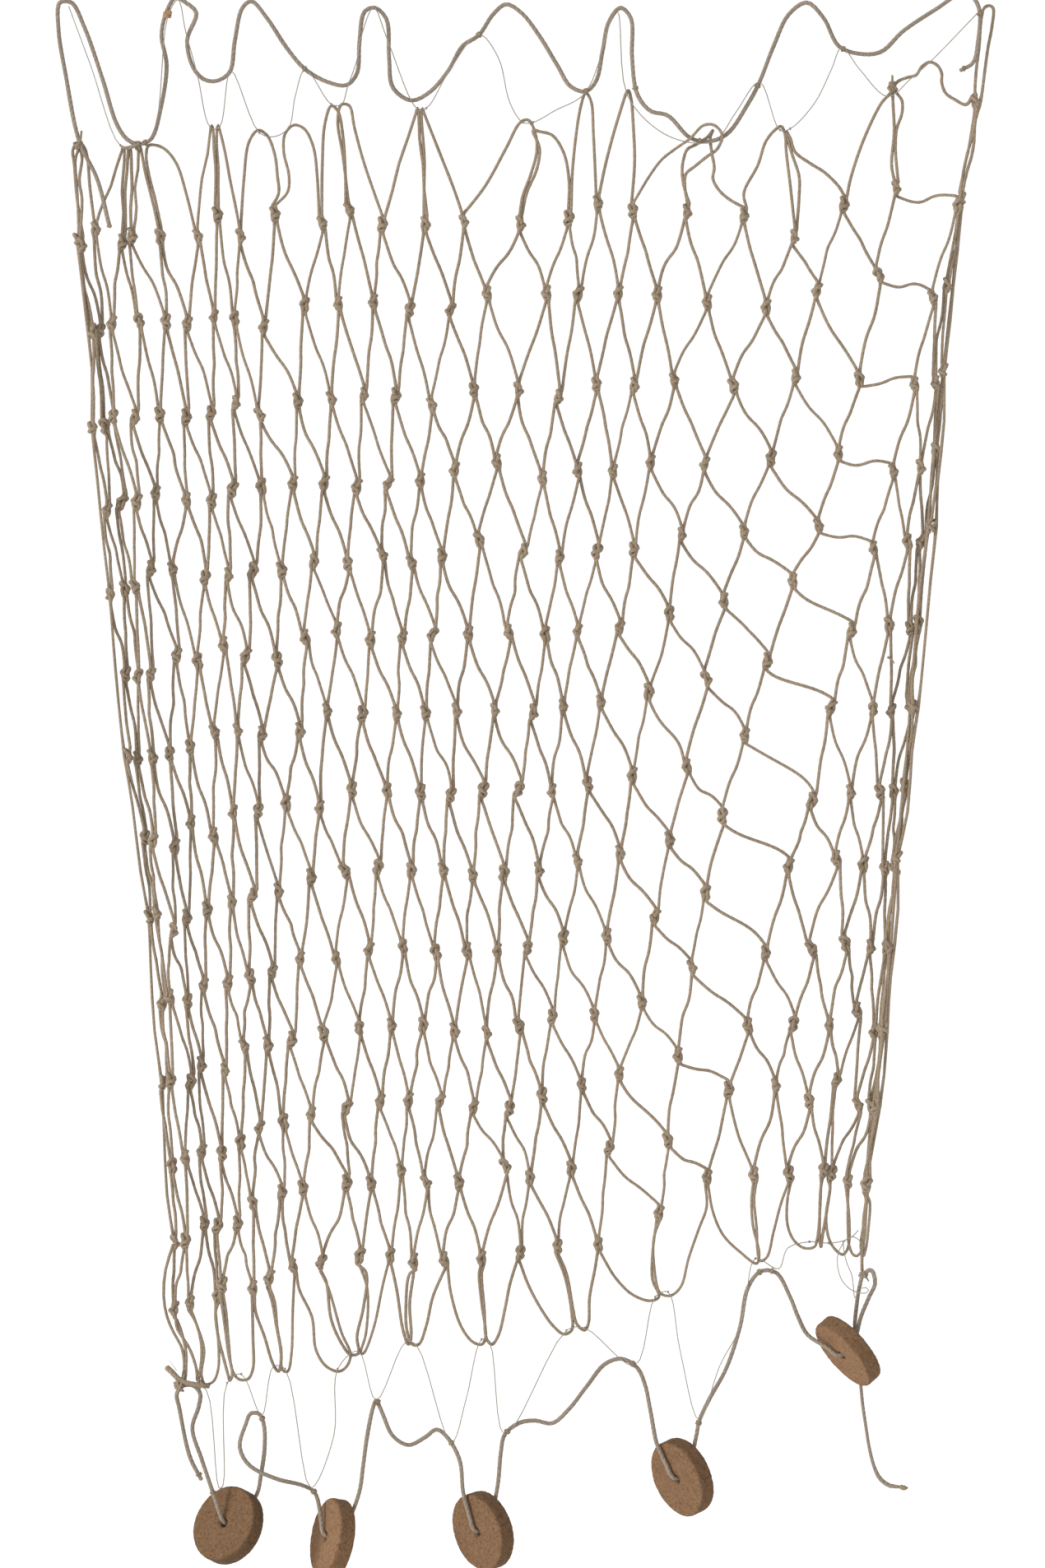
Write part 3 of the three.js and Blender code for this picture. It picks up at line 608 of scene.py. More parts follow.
lacingSize = {
    "radius": 0.42, "sides": 6, "onRope": -2.82, "onNet": 0.98, "slackRadius": 0.4,
    # a coil: its radius, pitch, turns and the thread's own radius
    "hitch": (0.75, 0.6, 2.2, 0.36),
    "knot": (0.8, 0.6, 2.2, 0.42),
    "round": {"radius": 2.25, "pitch": 0.8, "turns": (1.6, 3.4), "thread": 0.42},
    # where a hitch's or a knot's middle is, and how it is turned
    "hitchSeat": ((0, 0.2, 0), (1, 0.2, 0.3)),
    "knotSeat": ((0.3, -2.9, 0.2), (0.5, 0, 0.6)),
    # a whipping is fatter where the rope that it binds hangs upright
    "whipping": {"radius": 2.05, "upright": 0.9, "coil": (0.85, 2.2, 0.35)},
}
topTies = [
    [-340, 0, "rope"], [-323, -46], [-300, -108, "net"], [-290, -108, "rope"],
    [-280, -106, "rope"], [-272, -91, "rope"], [-263, -8, "rope"], [-255, 5, "rope"],
    [-249, -20], [-240, -53, "rope"], [-230, -94, "net"], [-223, -94, "net"],
    [-214, -50, "rope"], [-192, -98, "net"], [-180, -101], [-169, -94, "net"], [-164, -70],
    [-156, -49, "rope"], [-136, -76, "net"], [-128, -76, "net"], [-123, -62, "rope"],
    [-116, -42, "rope"], [-113, -25, "rope"], [-103, -1, "rope"], [-93, -24, "rope"],
    [-74, -73, "rope"], [-69, -79, "net"], [-62, -79, "net"], [-44, -50, "rope"],
    [-21, -22, "rope"], [-6, -40], [3, -75], [13, -90, "net"], [21, -90, "net"], [38, -81],
    [62, -67, "rope"], [86, -3, "rope"], [94, -68, "net"], [118, -96], [143, -106, "rope"],
    [163, -104, "rope"], [179, -82], [197, -59, "rope"], [213, -96, "net"], [221, -95, "net"],
    [240, -75], [253, -49], [261, -32, "rope"], [275, -49], [297, -70, "net"], [315, -56],
    [330, -43], [366, -6, "rope"],
]
bottomTies = [
    [-241, -1073, "rope"], [-233, -1076], [-223, -1152, "rope"], [-220, -1150],
    [-217, -1071, "net"], [-206, -1064, "net"], [-190, -1096, "rope"], [-181, -1058, "net"],
    [-172, -1060, "net"], [-152, -1153, "rope"], [-134, -1112], [-131, -1060, "net"],
    [-115, -1046, "net"], [-101, -1084, "rope"], [-78, -1039, "net"], [-70, -1041, "net"],
    [-42.5, -1117, "rope"], [-31, -1083], [-19, -1037, "net"], [-13, -1039, "net"],
    [-1, -1111, "rope"], [47, -1030, "net"], [61, -1028, "net"], [100, -1057, "rope"],
    [116, -1004, "net"], [126, -1000, "net"], [135, -1044], [150, -1099, "rope"],
    [166, -1057], [182, -1027, "rope"], [187, -1000, "rope"], [194, -974, "net"], [212, -982],
    [219, -966], [236, -961, "net"], [251, -962, "net"], [263, -960], [269, -957, 0],
    [274, -952, 0],
]


def lacingPath(ties, ropeLine):
    x, z = np.array([t[0] for t in ties], float), np.array([t[1] for t in ties], float)
    nearest = np.argmin((ropeLine[None, :, 0] - x[:, None]) ** 2
                        + (ropeLine[None, :, 2] - z[:, None]) ** 2, axis=1)
    seats = {"rope": ropeLine[nearest, 1] + lacingSize["onRope"],
             "net": np.full(len(x), lacingSize["onNet"])}
    known = [i for i, t in enumerate(ties) if len(t) > 2]
    depth = [seats[ties[i][2]][i] if isinstance(ties[i][2], str) else ties[i][2] for i in known]
    return np.stack([x, np.interp(np.arange(len(x)), known, depth), z], -1)


def coilRound(middle, along, radius, pitch, turns, thickness, sides=5):
    t = np.linspace(0, turns, int(turns * 9) + 1)
    way = unit(np.asarray(along, float))
    a = unit(np.cross(way, (0.2, 1.0, 0.3)))
    b = np.cross(way, a)
    angle = 2 * math.pi * t[:, None]
    line = middle + radius * (np.cos(angle) * a + np.sin(angle) * b)
    line = line + way * ((t - turns / 2) * pitch)[:, None]
    return tube(line * mm, thickness * mm, sides)


# A tie: a few turns of thread round the rope and the lacing, with a hitch in front.
def tieOn(spot, ropeLine):
    nearest = np.argmin(np.hypot(ropeLine[:, 0] - spot[0], ropeLine[:, 2] - spot[1]))
    ahead, behind = min(nearest + 2, len(ropeLine) - 1), max(nearest - 2, 0)
    along = unit(ropeLine[ahead] - ropeLine[behind])
    middle = ropeLine[nearest]
    offset, turned = lacingSize["knotSeat"]
    c = lacingSize["round"]
    return [coilRound(middle, along, c["radius"], c["pitch"], draw.uniform(*c["turns"]),
                      c["thread"]),
            coilRound(middle + offset, along + turned, *lacingSize["knot"])]


# Where the lacing passes through a bight of the netting, it makes one small hitch.
def hitchOn(spot):
    offset, way = lacingSize["hitchSeat"]
    return [coilRound(spot + offset, way, *lacingSize["hitch"])]


tieSpots = {
    "head": [(-286, -107), (-280, -106), (-157, -49), (-21, -22), (62, -66),
             (98, -64), (150, -105), (195, -62), (262, -33), (368, -6)],
    "foot": [(-190, -1098), (-150, -1156), (-100, -1085), (-42, -1117), (0, -1108),
             (99, -1056), (196, -982), (207, -984), (150, -1101), (-223, -1154)],
}
# The free end of the bottom lacing: two slack loops and a drop, as x, z and depth, and a
# whipping round each rope end.
slackThread = [
    [(277, -968, 0.8), (277, -963, 0.6), (273, -958.5, 0.4), (268, -957, 0.2), (263, -961, 0),
     (258.4, -970, 0.5), (257.7, -978, 0), (260.5, -989.4, -0.5), (266.7, -997, -1.5),
     (273.7, -1000.2, -2.2), (279.9, -1000.5, -2.2), (281.6, -998.4, -2), (279.9, -996.6, -2),
     (276.5, -997, -2.2)],
    [(262, -960, 0.4), (263.2, -970, 0.5), (265.3, -978, 0), (268.8, -986.6, -0.5),
     (270.2, -996.4, -1), (270.9, -1003.3, -1), (272.6, -1005.4, -0.5)],
]
whippings = [((-239, 0, -1142), (0.5, 0, -0.86)), ((356, -3, -48.5), (0.95, 0, 0.25)),
             ((-101, 0, -1087), (0, 0, 1))]
lacingPieces = {
    "topLacingThread": {"ties": topTies, "rope": headFine, "node": "top_lacing",
                        "length": 1.51, "farEnd": "knot"},
    "bottomLacingThread": {"ties": bottomTies, "rope": footFine, "node": "bottom_lacing",
                           "length": 1.4, "farEnd": "bare"},
}
for name, facts in lacingPieces.items():
    line = lacingPath(facts["ties"], facts["rope"])
    facts["path"] = smoothPath(line, 6)
    piece = makePiece(name, [tube(facts["path"] * mm, lacingSize["radius"] * mm,
                                  lacingSize["sides"])], thread)
    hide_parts(facts["node"])
    wraps = [part for spot, tie in zip(line, facts["ties"]) if len(tie) > 2
             and tie[2] == "net" for part in hitchOn(spot)]
    if name == "bottomLacingThread":
        wraps += [tube(smoothPath([(x, y, z) for x, z, y in run], 5) * mm,
                       lacingSize["slackRadius"] * mm, 5) for run in slackThread]
    ties = makePiece(name + "Ties", wraps, thread)
    for made in (piece, ties):
        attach(made, "hung_net")
    facts["piece"], facts["with"] = piece, [ties]
lashed = [part for spots, line in (("head", headFine), ("foot", footFine))
          for spot in tieSpots[spots] for part in tieOn(spot, line)]
whipping = lacingSize["whipping"]
for spot, along in whippings:
    radius = whipping["radius"] + whipping["upright"] * along[2] ** 4
    lashed.append(coilRound(np.array(spot), along, radius, *whipping["coil"]))
# The foot rope's right end is frayed into a small tuft: x, z and radius.
tuftRoute = np.array([(305, -1151.6), (307.4, -1151.8), (309.8, -1152.4), (312.4, -1152.2)])
tuftRadius = {"at": (305, 307.6, 310.2, 312.4), "radius": (0.9, 2.2, 2.1, 0.8)}
tuft = smoothPath(np.insert(tuftRoute, 1, 0, axis=1), 5)
lashed.append(tube(tuft * mm, np.interp(tuft[:, 0], *tuftRadius.values()) * mm, 9, plies=3,
                   groove=0.25, lay=0.009))
# The brown binding at the left of the head rope: coils as middle, axis, radius, pitch,
# turns and the thread's radius.
bindings = [((-263.5, 0, -6.5), (0.15, 0, 1), 2.5, 1.3, 3.6, 0.75),
            ((-263.5, 0, -6.5), (0.15, 0, 1), 2.9, 1.3, 2.2, 0.75),
            ((-261.5, -3.4, -5), (0.8, 0, 0.6), 1.1, 1.0, 2.4, 0.8)]
bound = [coilRound(np.array(middle), *coil, sides=6) for middle, *coil in bindings]
for name, parts, material in (("paleTies", lashed, tieThread), ("brownTie", bound, brownThread)):
    piece = makePiece(name, parts, material)
    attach(piece, "hung_net")
print("threads laid:", {k: round(alongLength(v["path"])[-1] * mm, 3)
                        for k, v in lacingPieces.items()})

# cork floats: pressed granules, with a soft worn rim and a hole whose edges flare


corkGrain = {
    "coarse": 3.2, "fine": 1.5, "waves": 40,  # size of the pits and how many waves make them
    "pits": (0.16, 0.13, 0.35),  # mean depth, its unevenness, and how much deeper holes are
    "deepest": 0.8, "segments": 144,
    "fade": 8,  # pits and wear fade to nothing over this distance from the hole
    "outOfRound": ((0.006, 2, 1), (0.004, 5, 2)),  # share of radius, lobes and seed's share
}


# The sum of many small sine waves in random ways, about as long as the size.
def grainWaves(points, size, seed):
    pick, count = np.random.default_rng(seed), corkGrain["waves"]
    ways = unit(pick.normal(0, 1, (count, 3))) * 2 * math.pi
    ways = ways / (size * pick.uniform(0.7, 1.6, (count, 1)))
    return np.sin(points @ ways.T + pick.uniform(0, 6.28, count)).sum(1) / math.sqrt(count)


# A ring-shaped grid: the profile (radius, height) turned round the axis, its surface pitted
# inwards by sums of small waves, and its outline slightly out of round.
def floatGrid(place, seed):
    c, half = corkFloat, corkFloat["thickness"] / 2
    hub, round0 = c["bore"] + c["flare"], c["radius"] - c["edge"]

    def arc(r, h, size, start, end, n):
        a = np.radians(np.linspace(start, end, n))
        return np.stack([r + size * np.cos(a), h + size * np.sin(a)], -1)

    def across(r0, r1, h, n):
        return np.stack([np.linspace(r0, r1, n), np.full(n, h)], -1)[1:-1]

    profile = np.vstack([
        arc(round0, half - c["edge"], c["edge"], 0, 90, 6), across(round0, hub, half, 20),
        arc(hub, half - c["flare"], c["flare"], 90, 180, 6),
        arc(hub, c["flare"] - half, c["flare"], 180, 270, 6), across(hub, round0, -half, 20),
        arc(round0, c["edge"] - half, c["edge"], 270, 360, 6),
        np.stack([np.full(6, c["radius"]),
                  np.linspace(c["edge"] - half, half - c["edge"], 8)[1:-1]], -1),
    ])
    out = np.roll(profile, -1, 0) - np.roll(profile, 1, 0)
    out = unit(np.stack([out[:, 1], -out[:, 0]], -1))
    segments, rings = corkGrain["segments"], len(profile)
    turn = 2 * math.pi * np.arange(segments) / segments
    axis = floatAxis(place)
    side = unit(np.cross(axis, (0, 0, 1.0)))
    up = np.cross(axis, side)
    ring = np.cos(turn)[:, None] * side + np.sin(turn)[:, None] * up
    points = (ring[:, None] * profile[None, :, :1] + axis * profile[None, :, 1:]).reshape(-1, 3)
    normal = (ring[:, None] * out[None, :, :1] + axis * out[None, :, 1:]).reshape(-1, 3)
    share = np.tile(np.clip((profile[:, 0] - hub) / corkGrain["fade"], 0, 1), segments)
    grain = (grainWaves(points, corkGrain["coarse"], seed)
             + 0.5 * grainWaves(points, corkGrain["fine"], seed + 1))
    mean, unevenness, holes = corkGrain["pits"]
    pits = mean + unevenness * grain + holes * np.clip(grain - 1.3, 0, 1)
    points = points - normal * (share * np.clip(pits, 0, corkGrain["deepest"]))[:, None]
    worn = sum(amount * (1 + np.sin(lobes * turn + shift * seed))
               for amount, lobes, shift in corkGrain["outOfRound"])
    inward = np.repeat(worn, rings) * share
    flat = points - np.outer(points @ axis, axis)
    points = points - flat * inward[:, None]
    i, k = np.meshgrid(np.arange(segments), np.arange(rings), indexing="ij")
    i2, k2 = (i + 1) % segments, (k + 1) % rings
    quads = np.stack([i * rings + k, i * rings + k2, i2 * rings + k2, i2 * rings + k],
                     -1).reshape(-1, 4)
    rim = np.clip((profile[:, 0] - round0) / c["edge"] * 1.4 - 0.2, 0, 1)
    # the map's v is the float's painted lightness, partly the cork's own tone and partly painted
    # light
    chart = np.stack([np.tile(rim, segments)[quads.ravel()], np.full(quads.size, place[4])], -1)
    empty = np.zeros((0, 3), int)
    return (points + floatMiddle(place)) * mm, quads, empty, chart, np.zeros((0, 2))


floatPieces = []
for i, place in enumerate(corkFloat["places"]):
    piece = makePiece(f"corkFloat{i + 1}", [floatGrid(place, 5 + i)], cork)
    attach(piece, f"cork_{i + 1}")
    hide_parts(f"float_{i + 1}")
    floatPieces.append(piece)
ropePieces["footRopeStrand"]["with"] = floatPieces
print("floats made:", len(floatPieces), "of", len(floatPieces[0].data.polygons), "faces")

# netting: where its knots hang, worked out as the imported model's sheet is, with one more
# knot at the right end of each even row

hang = {
    "rows": 14,
    "lastColumn": 23,
    "bandSum": 22.5,  # column + row / 2 on the left side of the wide diagonal band
    "depth": 3.1,  # of the netting behind the ropes
    "crowding": 2.05,  # of the right side's columns towards its edge
    "uneven": (1.2, 3),  # how far knots lie from even rows and columns, in x and z
    "guideRows": [1, 4, 7, 10, 14],
    "columns": [-1, 0, 2, 4, 6, 8, 10, 12, 14, 16, 18, 20, 22],
    "x": [[-333, -315, -293, -271, -262], [-331, -305, -286, -266, -252],
          [-298, -283, -262, -242, -226],
          [-270, -239, -226, -208, -192], [-224, -203, -189, -171, -155],
          [-179, -154, -139, -120, -101], [-123, -104, -86, -68, -61],
          [-63, -54, -38, -19, -5], [11, 10, 20, 30, 57], [72, 70, 74, 97, 136],
          [140, 131, 156, 175, 188], [223, 233, 253, 259, 272], [303, 330, 342, 352, 362]],
    "z": [[-181, -390, -582, -775, -1014], [-183, -388, -584, -773, -1010],
          [-182, -378, -582, -766, -1000],
          [-177, -383, -566, -756, -992], [-163, -375, -564, -746, -979],
          [-164, -372, -545, -736, -972], [-158, -372, -551, -732, -974],
          [-166, -366, -548, -737, -973], [-167, -362, -548, -729, -961],
          [-152, -362, -541, -718, -932], [-162, -354, -522, -683, -891],
          [-177, -351, -489, -654, -852], [-143, -347, -456, -609, -814]],
    "bandX": [364, 317, 269, 220, 157],
    "bandZ": [-77, -296, -483, -671, -908],
    "edgeX": [364, 336, 321, 304, 281],
    "edgeZ": [-77, -286, -481, -669, -916],
    # knots well out of line: row, column, and how far they are moved in x and z
    "strays": [
        (1, 1, -4, 10), (1, 3, -6, 3), (1, 5, 7, -8), (1, 7, -5, -18), (1, 9, 10, -5),
        (1, 11, -3, -6), (1, 12, -1, -6), (1, 13, -7, 3), (1, 17, -6, -6), (2, 13.5, -7, 10),
        (2, 14.5, 5, 8), (3, 12, 0, -9), (3, 15, 1, -7), (4, 12.5, 0, 7), (4, 13.5, 0, 11),
        (4, 14.5, 2, -7),
        (1, 15, 8, -8), (1, 19, 4, 10), (1, 21, -1, 8), (2, -0.5, 5, 1), (2, 1.5, -6, 0),
        (2, 3.5, 3, 5), (2, 5.5, 0, -7), (2, 6.5, -6, -11), (2, 7.5, -7, -17), (2, 20.5, -5, 10),
        (2, 21.5, -1, 15), (2, 22.5, 4, -2), (3, -1, 0, -9), (3, 0, 0, -6), (3, 1, -4, -5),
        (3, 2, 0, -7), (3, 5, 0, -7), (3, 7, -6, -14), (3, 20, -4, 10), (4, 1.5, 3, -8),
        (4, 22.5, 0, -5), (4, 23.5, 5, 2), (5, 2, 0, 6), (5, 3, -5, 10), (5, 10, 1, 10),
        (5, 13, -3, 10), (5, 20, 4, -5), (5, 23, 4, 10), (6, 2.5, 4, 8), (6, 4.5, 2, 9),
        (6, 6.5, 3, -10), (6, 21.5, 2, 5), (6, 23.5, 5, 13), (7, 7, 5, -9), (8, 1.5, 4, -5),
        (8, 2.5, 1, 9), (8, 3.5, 1, -15), (8, 7.5, 1, -11), (8, 17.5, -1, -10), (8, 21.5, -5, -4),
        (9, 0, 0, 7), (9, 1, 3, -8), (9, 19, 3, -8), (9, 22, -4, -5), (10, 1.5, 0, -6),
        (10, 19.5, 3, 6), (10, 23.5, 1, 10), (11, 1, 6, -8), (11, 3, 3, -8), (11, 4, 1, 7),
        (11, 17, 2, 10), (11, 18, -2, -5), (12, -0.5, 1, -10), (12, 0.5, 4, -5), (12, 1.5, 4, -6),
        (12, 2.5, 4, -10), (12, 3.5, 1, -6), (12, 15.5, -10, 3), (12, 20.5, 2, 10),
        (12, 21.5, 1, -6), (12, 22.5, -1, -6), (13, -1, 6, -8), (13, 0, 6, -6), (13, 1, 8, -3),
        (13, 2, 6, -6), (13, 3, 4, -8), (13, 5, 5, 3), (13, 7, 8, 4), (13, 9, 3, 10),
        (13, 12, 8, 14), (13, 15, -8, 2), (13, 17, 0, 8), (13, 18, 1, 8), (13, 20, -2, 14),
        (13, 23, 2, -5), (14, 1.5, 8, 2), (14, 2.5, -4, 4), (14, 3.5, 5, -3), (14, 14.5, -4, -9),
        (14, 18.5, -2, 4), (14, 19.5, 1, 7), (14, 20.5, -11, 7), (14, 21.5, -10, 3),
    ],
    "crowns": [[-333, -112], [-332, -110], [-298, -109], [-293, -109], [-285, -108],
               [-276, -108], [-229, -92], [-224, -92], [-191, -97], [-168, -92], [-136, -74],
               [-129, -74], [-69, -79], [-65, -79], [13, -88], [19, -89], [62, -68],
               [94, -67], [145, -105], [162, -95], [214, -94], [219, -94], [297, -67]],
}


# Cubic pieces through values at knots, whose slopes are those of the chords across each
# knot, and straight lines beyond both ends. The last axis of values runs over the knots.
def smoothThrough(knots, values, at):
    knots, values, at = (np.asarray(v, float) for v in (knots, values, at))
    n = len(knots)
    low, high = np.maximum(np.arange(n) - 1, 0), np.minimum(np.arange(n) + 1, n - 1)
    slope = (values[..., high] - values[..., low]) / (knots[high] - knots[low])
    values, slope = (np.broadcast_to(v, at.shape + (n,)) for v in (values, slope))
    inside = np.clip(at, knots[0], knots[-1])
    i = np.clip(np.searchsorted(knots, inside, side="right") - 1, 0, n - 2)

    def pick(table, k):
        return np.take_along_axis(table, k[..., None], -1)[..., 0]

    width = knots[i + 1] - knots[i]
    t = (inside - knots[i]) / width
    share = 2 * t**3 - 3 * t**2 + 1
    bend = (t**3 - 2 * t**2 + t) * pick(slope, i) + (t**3 - t**2) * pick(slope, i + 1)
    beyond = (at - inside) * np.where(at < knots[0], slope[..., 0], slope[..., -1])
    return share * pick(values, i) + (1 - share) * pick(values, i + 1) + width * bend + beyond


def uneven(row, column, kind):
    wave = np.sin(row * 12.9898 + column * 78.233 + kind * 37.719) * 43758.5453
    return 2 * (wave - np.floor(wave)) - 1


folds = {
    "least": 3,
    "left": (7, 4),  # how much deeper at the side, and over how many columns that fades
    "right": (5, 3),
    "rows": 3,  # over which they fade at the head and foot
    "wave": (1.95, 0.35, 0.9),  # turn for a column and for a row, and its unevenness
}


# Depth of the soft upright folds: a wave across the columns, deeper at the gathered sides
# and fading to nothing at the head and foot.
def foldDepth(row, column):
    (left, leftReach), (right, rightReach) = folds["left"], folds["right"]
    sides = (folds["least"] + left * np.exp(-column / leftReach)
             + right * np.exp((column - hang["lastColumn"]) / rightReach))
    fade = folds["rows"]
    free = np.clip((row - 1) / fade, 0, 1) * np.clip((hang["rows"] + 1 - row) / fade, 0, 1)
    perColumn, perRow, swing = folds["wave"]
    return sides * free * np.sin(perColumn * column + perRow * row + swing * np.sin(column))


# Places of the knots of one row, in millimetres.
def knotPlaces(row):
    column = np.arange(-1.0 if row % 2 else -0.5, hang["lastColumn"] + 0.6)
    r = np.full(column.shape, float(row))
    across = np.repeat(r[:, None], len(hang["columns"]), 1)
    lines = [smoothThrough(hang["guideRows"], np.array(hang[k])[None], across)
             for k in ("x", "z")]
    x, z = (smoothThrough(hang["columns"], line, column) for line in lines)
    pastBand = column + row / 2 - hang["bandSum"] - 1
    share = np.clip(pastBand / max(0.5, (row - 1) / 2), 0, 1)
    bandX, bandZ, edgeX, edgeZ = (smoothThrough(hang["guideRows"], hang[k], r)
                                  for k in ("bandX", "bandZ", "edgeX", "edgeZ"))
    right = pastBand > -0.5
    x = np.where(right, bandX + (edgeX - bandX) * (1 - (1 - share) ** hang["crowding"]), x)
    z = np.where(right, bandZ + (edgeZ - bandZ) * share, z)
    amountX, amountZ = hang["uneven"]
    x, z = x + amountX * uneven(r, column, 1), z + amountZ * uneven(r, column, 2)
    for strayRow, strayColumn, aside, up in hang["strays"]:
        hit = (r == strayRow) & (column == strayColumn)
        x, z = x + aside * hit, z + up * hit
    return np.stack([x, hang["depth"] + foldDepth(r, column), z], -1)


rowKnots = {row: knotPlaces(row) for row in range(1, hang["rows"] + 1)}
print("netting laid out:", sum(len(k) for k in rowKnots.values()), "knots")

# netting knots: a sheet bend, its working twine wound round the bight of the row above.
# Both are given in twine thicknesses: across, in depth (less is nearer) and up.

knotShape = {
    "twine": 2.5,  # thickness
    "tall": 1.22,  # stretch of a knot
    "wide": 0.86,
    "swell": (0.3, 6),  # how much fatter the twine is in a knot, and how far that reaches
    "uneven": (0.05, 0.9),  # and its unevenness elsewhere, with its wave
    "yaw": 34.0,  # degrees, how far a knot is usually twisted out of the net's plane
    "mostTwist": 1.3,  # radians
    "tilt": 9.0,
    "tightness": (0.88, 1.12),  # range of the knots' sizes
    "turnedShare": 0.3,  # knots that show their other side
    "wrap": [(-0.5, 0.1, -2.1), (-0.45, 0.35, -1.5), (-0.25, 0.15, -0.85),
             (0.05, -0.65, -0.15), (0.7, -1.0, 0.75), (1.3, -0.4, 1.45),
             (0.95, 0.75, 1.5), (-0.1, 1.05, 0.95), (-1.05, 0.65, 0.4), (-1.4, -0.25, -0.1),
             (-0.85, -1.15, -0.35), (0.05, -1.35, -0.6), (0.85, -0.95, -1.05),
             (0.75, -0.35, -1.6), (0.5, 0.0, -2.1)],
    "bight": [(-0.55, 0.0, 2.1), (-0.42, 0.0, 1.55), (-0.62, -0.05, 0.8), (-0.95, -0.05, -0.2),
              (-0.8, -0.25, -1.15), (0.0, -0.4, -1.55), (0.85, -0.2, -1.15),
              (1.0, 0.05, -0.2), (0.62, 0.05, 0.8), (0.42, 0.0, 1.55), (0.55, 0.0, 2.1)],
}


# Turns of n knots: twist about the upright, then a small tilt in the net's plane.
def knotTurns(n):
    most = knotShape["mostTwist"]
    yaw = np.radians(draw.normal(0, knotShape["yaw"], n)).clip(-most, most)
    tilt = np.radians(draw.normal(0, knotShape["tilt"], n))
    side = np.where(draw.random(n) < knotShape["turnedShare"], -1.0, 1.0)
    d = knotShape["twine"] * draw.uniform(*knotShape["tightness"], n)
    c, s, ct, st, zero = np.cos(yaw), np.sin(yaw), np.cos(tilt), np.sin(tilt), np.zeros(n)
    twist = np.stack([np.stack([c, -s, zero], -1), np.stack([s, c, zero], -1),
                      np.stack([zero, zero, zero + 1], -1)], -2)
    lean = np.stack([np.stack([ct, zero, st], -1), np.stack([zero, zero + 1, zero], -1),
                     np.stack([-st, zero, ct], -1)], -2)
    scale = np.stack([zero + d * knotShape["wide"], d * side, zero + d * knotShape["tall"]], -1)
    return lean @ twist * scale[:, None, :]


rowTurns = {row: knotTurns(len(k)) for row, k in rowKnots.items()}


# A mirrored knot, as the rows tied the other way have, runs backwards through its points.
def placed(shape, centres, turns, mirrored=False):
    points = np.array(knotShape[shape])
    if mirrored:
        points = points[::-1] * (-1, 1, 1)
    return centres[:, None] + np.einsum("nij,kj->nki", turns, points)


bars = {
    "length": 52.6,
    "least": 1.008,  # length of a bar between knots far apart, as a share of the distance
    "points": 12,
    "pull": (0.28, 0.62),  # least and most length of a handle, as a share of the distance
    "halvings": 14,
    "wave": (0.55, 0.32, 0.22),  # sizes of the three waves, each shorter than the last
    "swing": (1.0, 1.3, 0.3),  # how much of a wave goes across, in depth and up
    "fromAbove": (0.55, 1.0),  # how straight bars leave the knot above, and the one below
    "fromBelow": (0.6, 1.0),
}


# Bars of twine between two rows of points: each is a cubic with a handle at both ends, as
# long as it takes for the bar to have its length, and three slight random waves.
def bendBars(start, startWay, end, endWay, length):
    t = np.linspace(0, 1, bars["points"] + 2)
    startWay, endWay = (unit(np.broadcast_to(w, start.shape)) for w in (startWay, endWay))
    direct = np.linalg.norm(end - start, axis=1)

    def curve(pull):
        h = (pull * direct)[:, None]
        a, b, c, d = start, start + startWay * h, end + endWay * h, end
        weights = np.stack([(1 - t)**3, 3 * t * (1 - t)**2, 3 * t**2 * (1 - t), t**3])
        return np.einsum("kt,knj->ntj", weights, np.stack([a, b, c, d]))

    low, high = (np.full(len(start), pull) for pull in bars["pull"])
    for _ in range(bars["halvings"]):
        middle = (low + high) / 2
        made = np.linalg.norm(np.diff(curve(middle), axis=1), axis=2).sum(1)
        low, high = np.where(made < length, middle, low), np.where(made < length, high, middle)
    line = curve(low)
    swing = sum(amount * np.sin((k + 1) * math.pi * t)[None, :, None]
                * draw.normal(0, 1, (len(start), 1, 3)) for k, amount in enumerate(bars["wave"]))
    return (line + swing * bars["swing"])[:, 1:-1]


def towards(start, end, lean):
    return unit(end - start) * lean + np.array([0, 0, 1.0]) * (1 - lean)


# From the lower exits of one row's knots down to the upper exits of the next.
def hangDown(upper, lower):
    direct = np.linalg.norm(lower - upper, axis=1)
    share = draw.uniform(*bars["fromAbove"], len(upper))[:, None]
    out = unit(lower - upper) * share + np.array([0, 0, -1.0]) * (1 - share)
    share = draw.uniform(*bars["fromBelow"], len(upper))[:, None]
    length = np.maximum(bars["length"], direct * bars["least"])
    return bendBars(upper, out, lower, towards(lower, upper, share), length)


def flip(lines):
    return lines[:, ::-1]


# One row's twine, from its first knot to its last, hanging in bights through the row below.
# At the netting's sides it has half a bight, or a wrap without its outer end.
def rowTwine(row):
    wraps = placed("wrap", rowKnots[row], rowTurns[row], row % 2 == 1)
    below = placed("bight", rowKnots[row + 1], rowTurns[row + 1])
    inner = below[:-1] if row % 2 else below[1:]
    down = hangDown(wraps[:-1, -1], inner[:, 0])
    up = flip(hangDown(wraps[1:, 0], inner[:, -1]))
    body = np.concatenate([wraps[:-1], down, inner, up], axis=1).reshape(-1, 3)
    if row % 2:
        last = hangDown(wraps[-1:, -1], below[-1:, 0])[0]
        return np.vstack([body[2:], wraps[-1], last, below[-1, :6]])
    first = flip(hangDown(wraps[:1, 0], below[:1, -1]))[0]
    return np.vstack([below[0, 5:], first, body, wraps[-1, :13]])


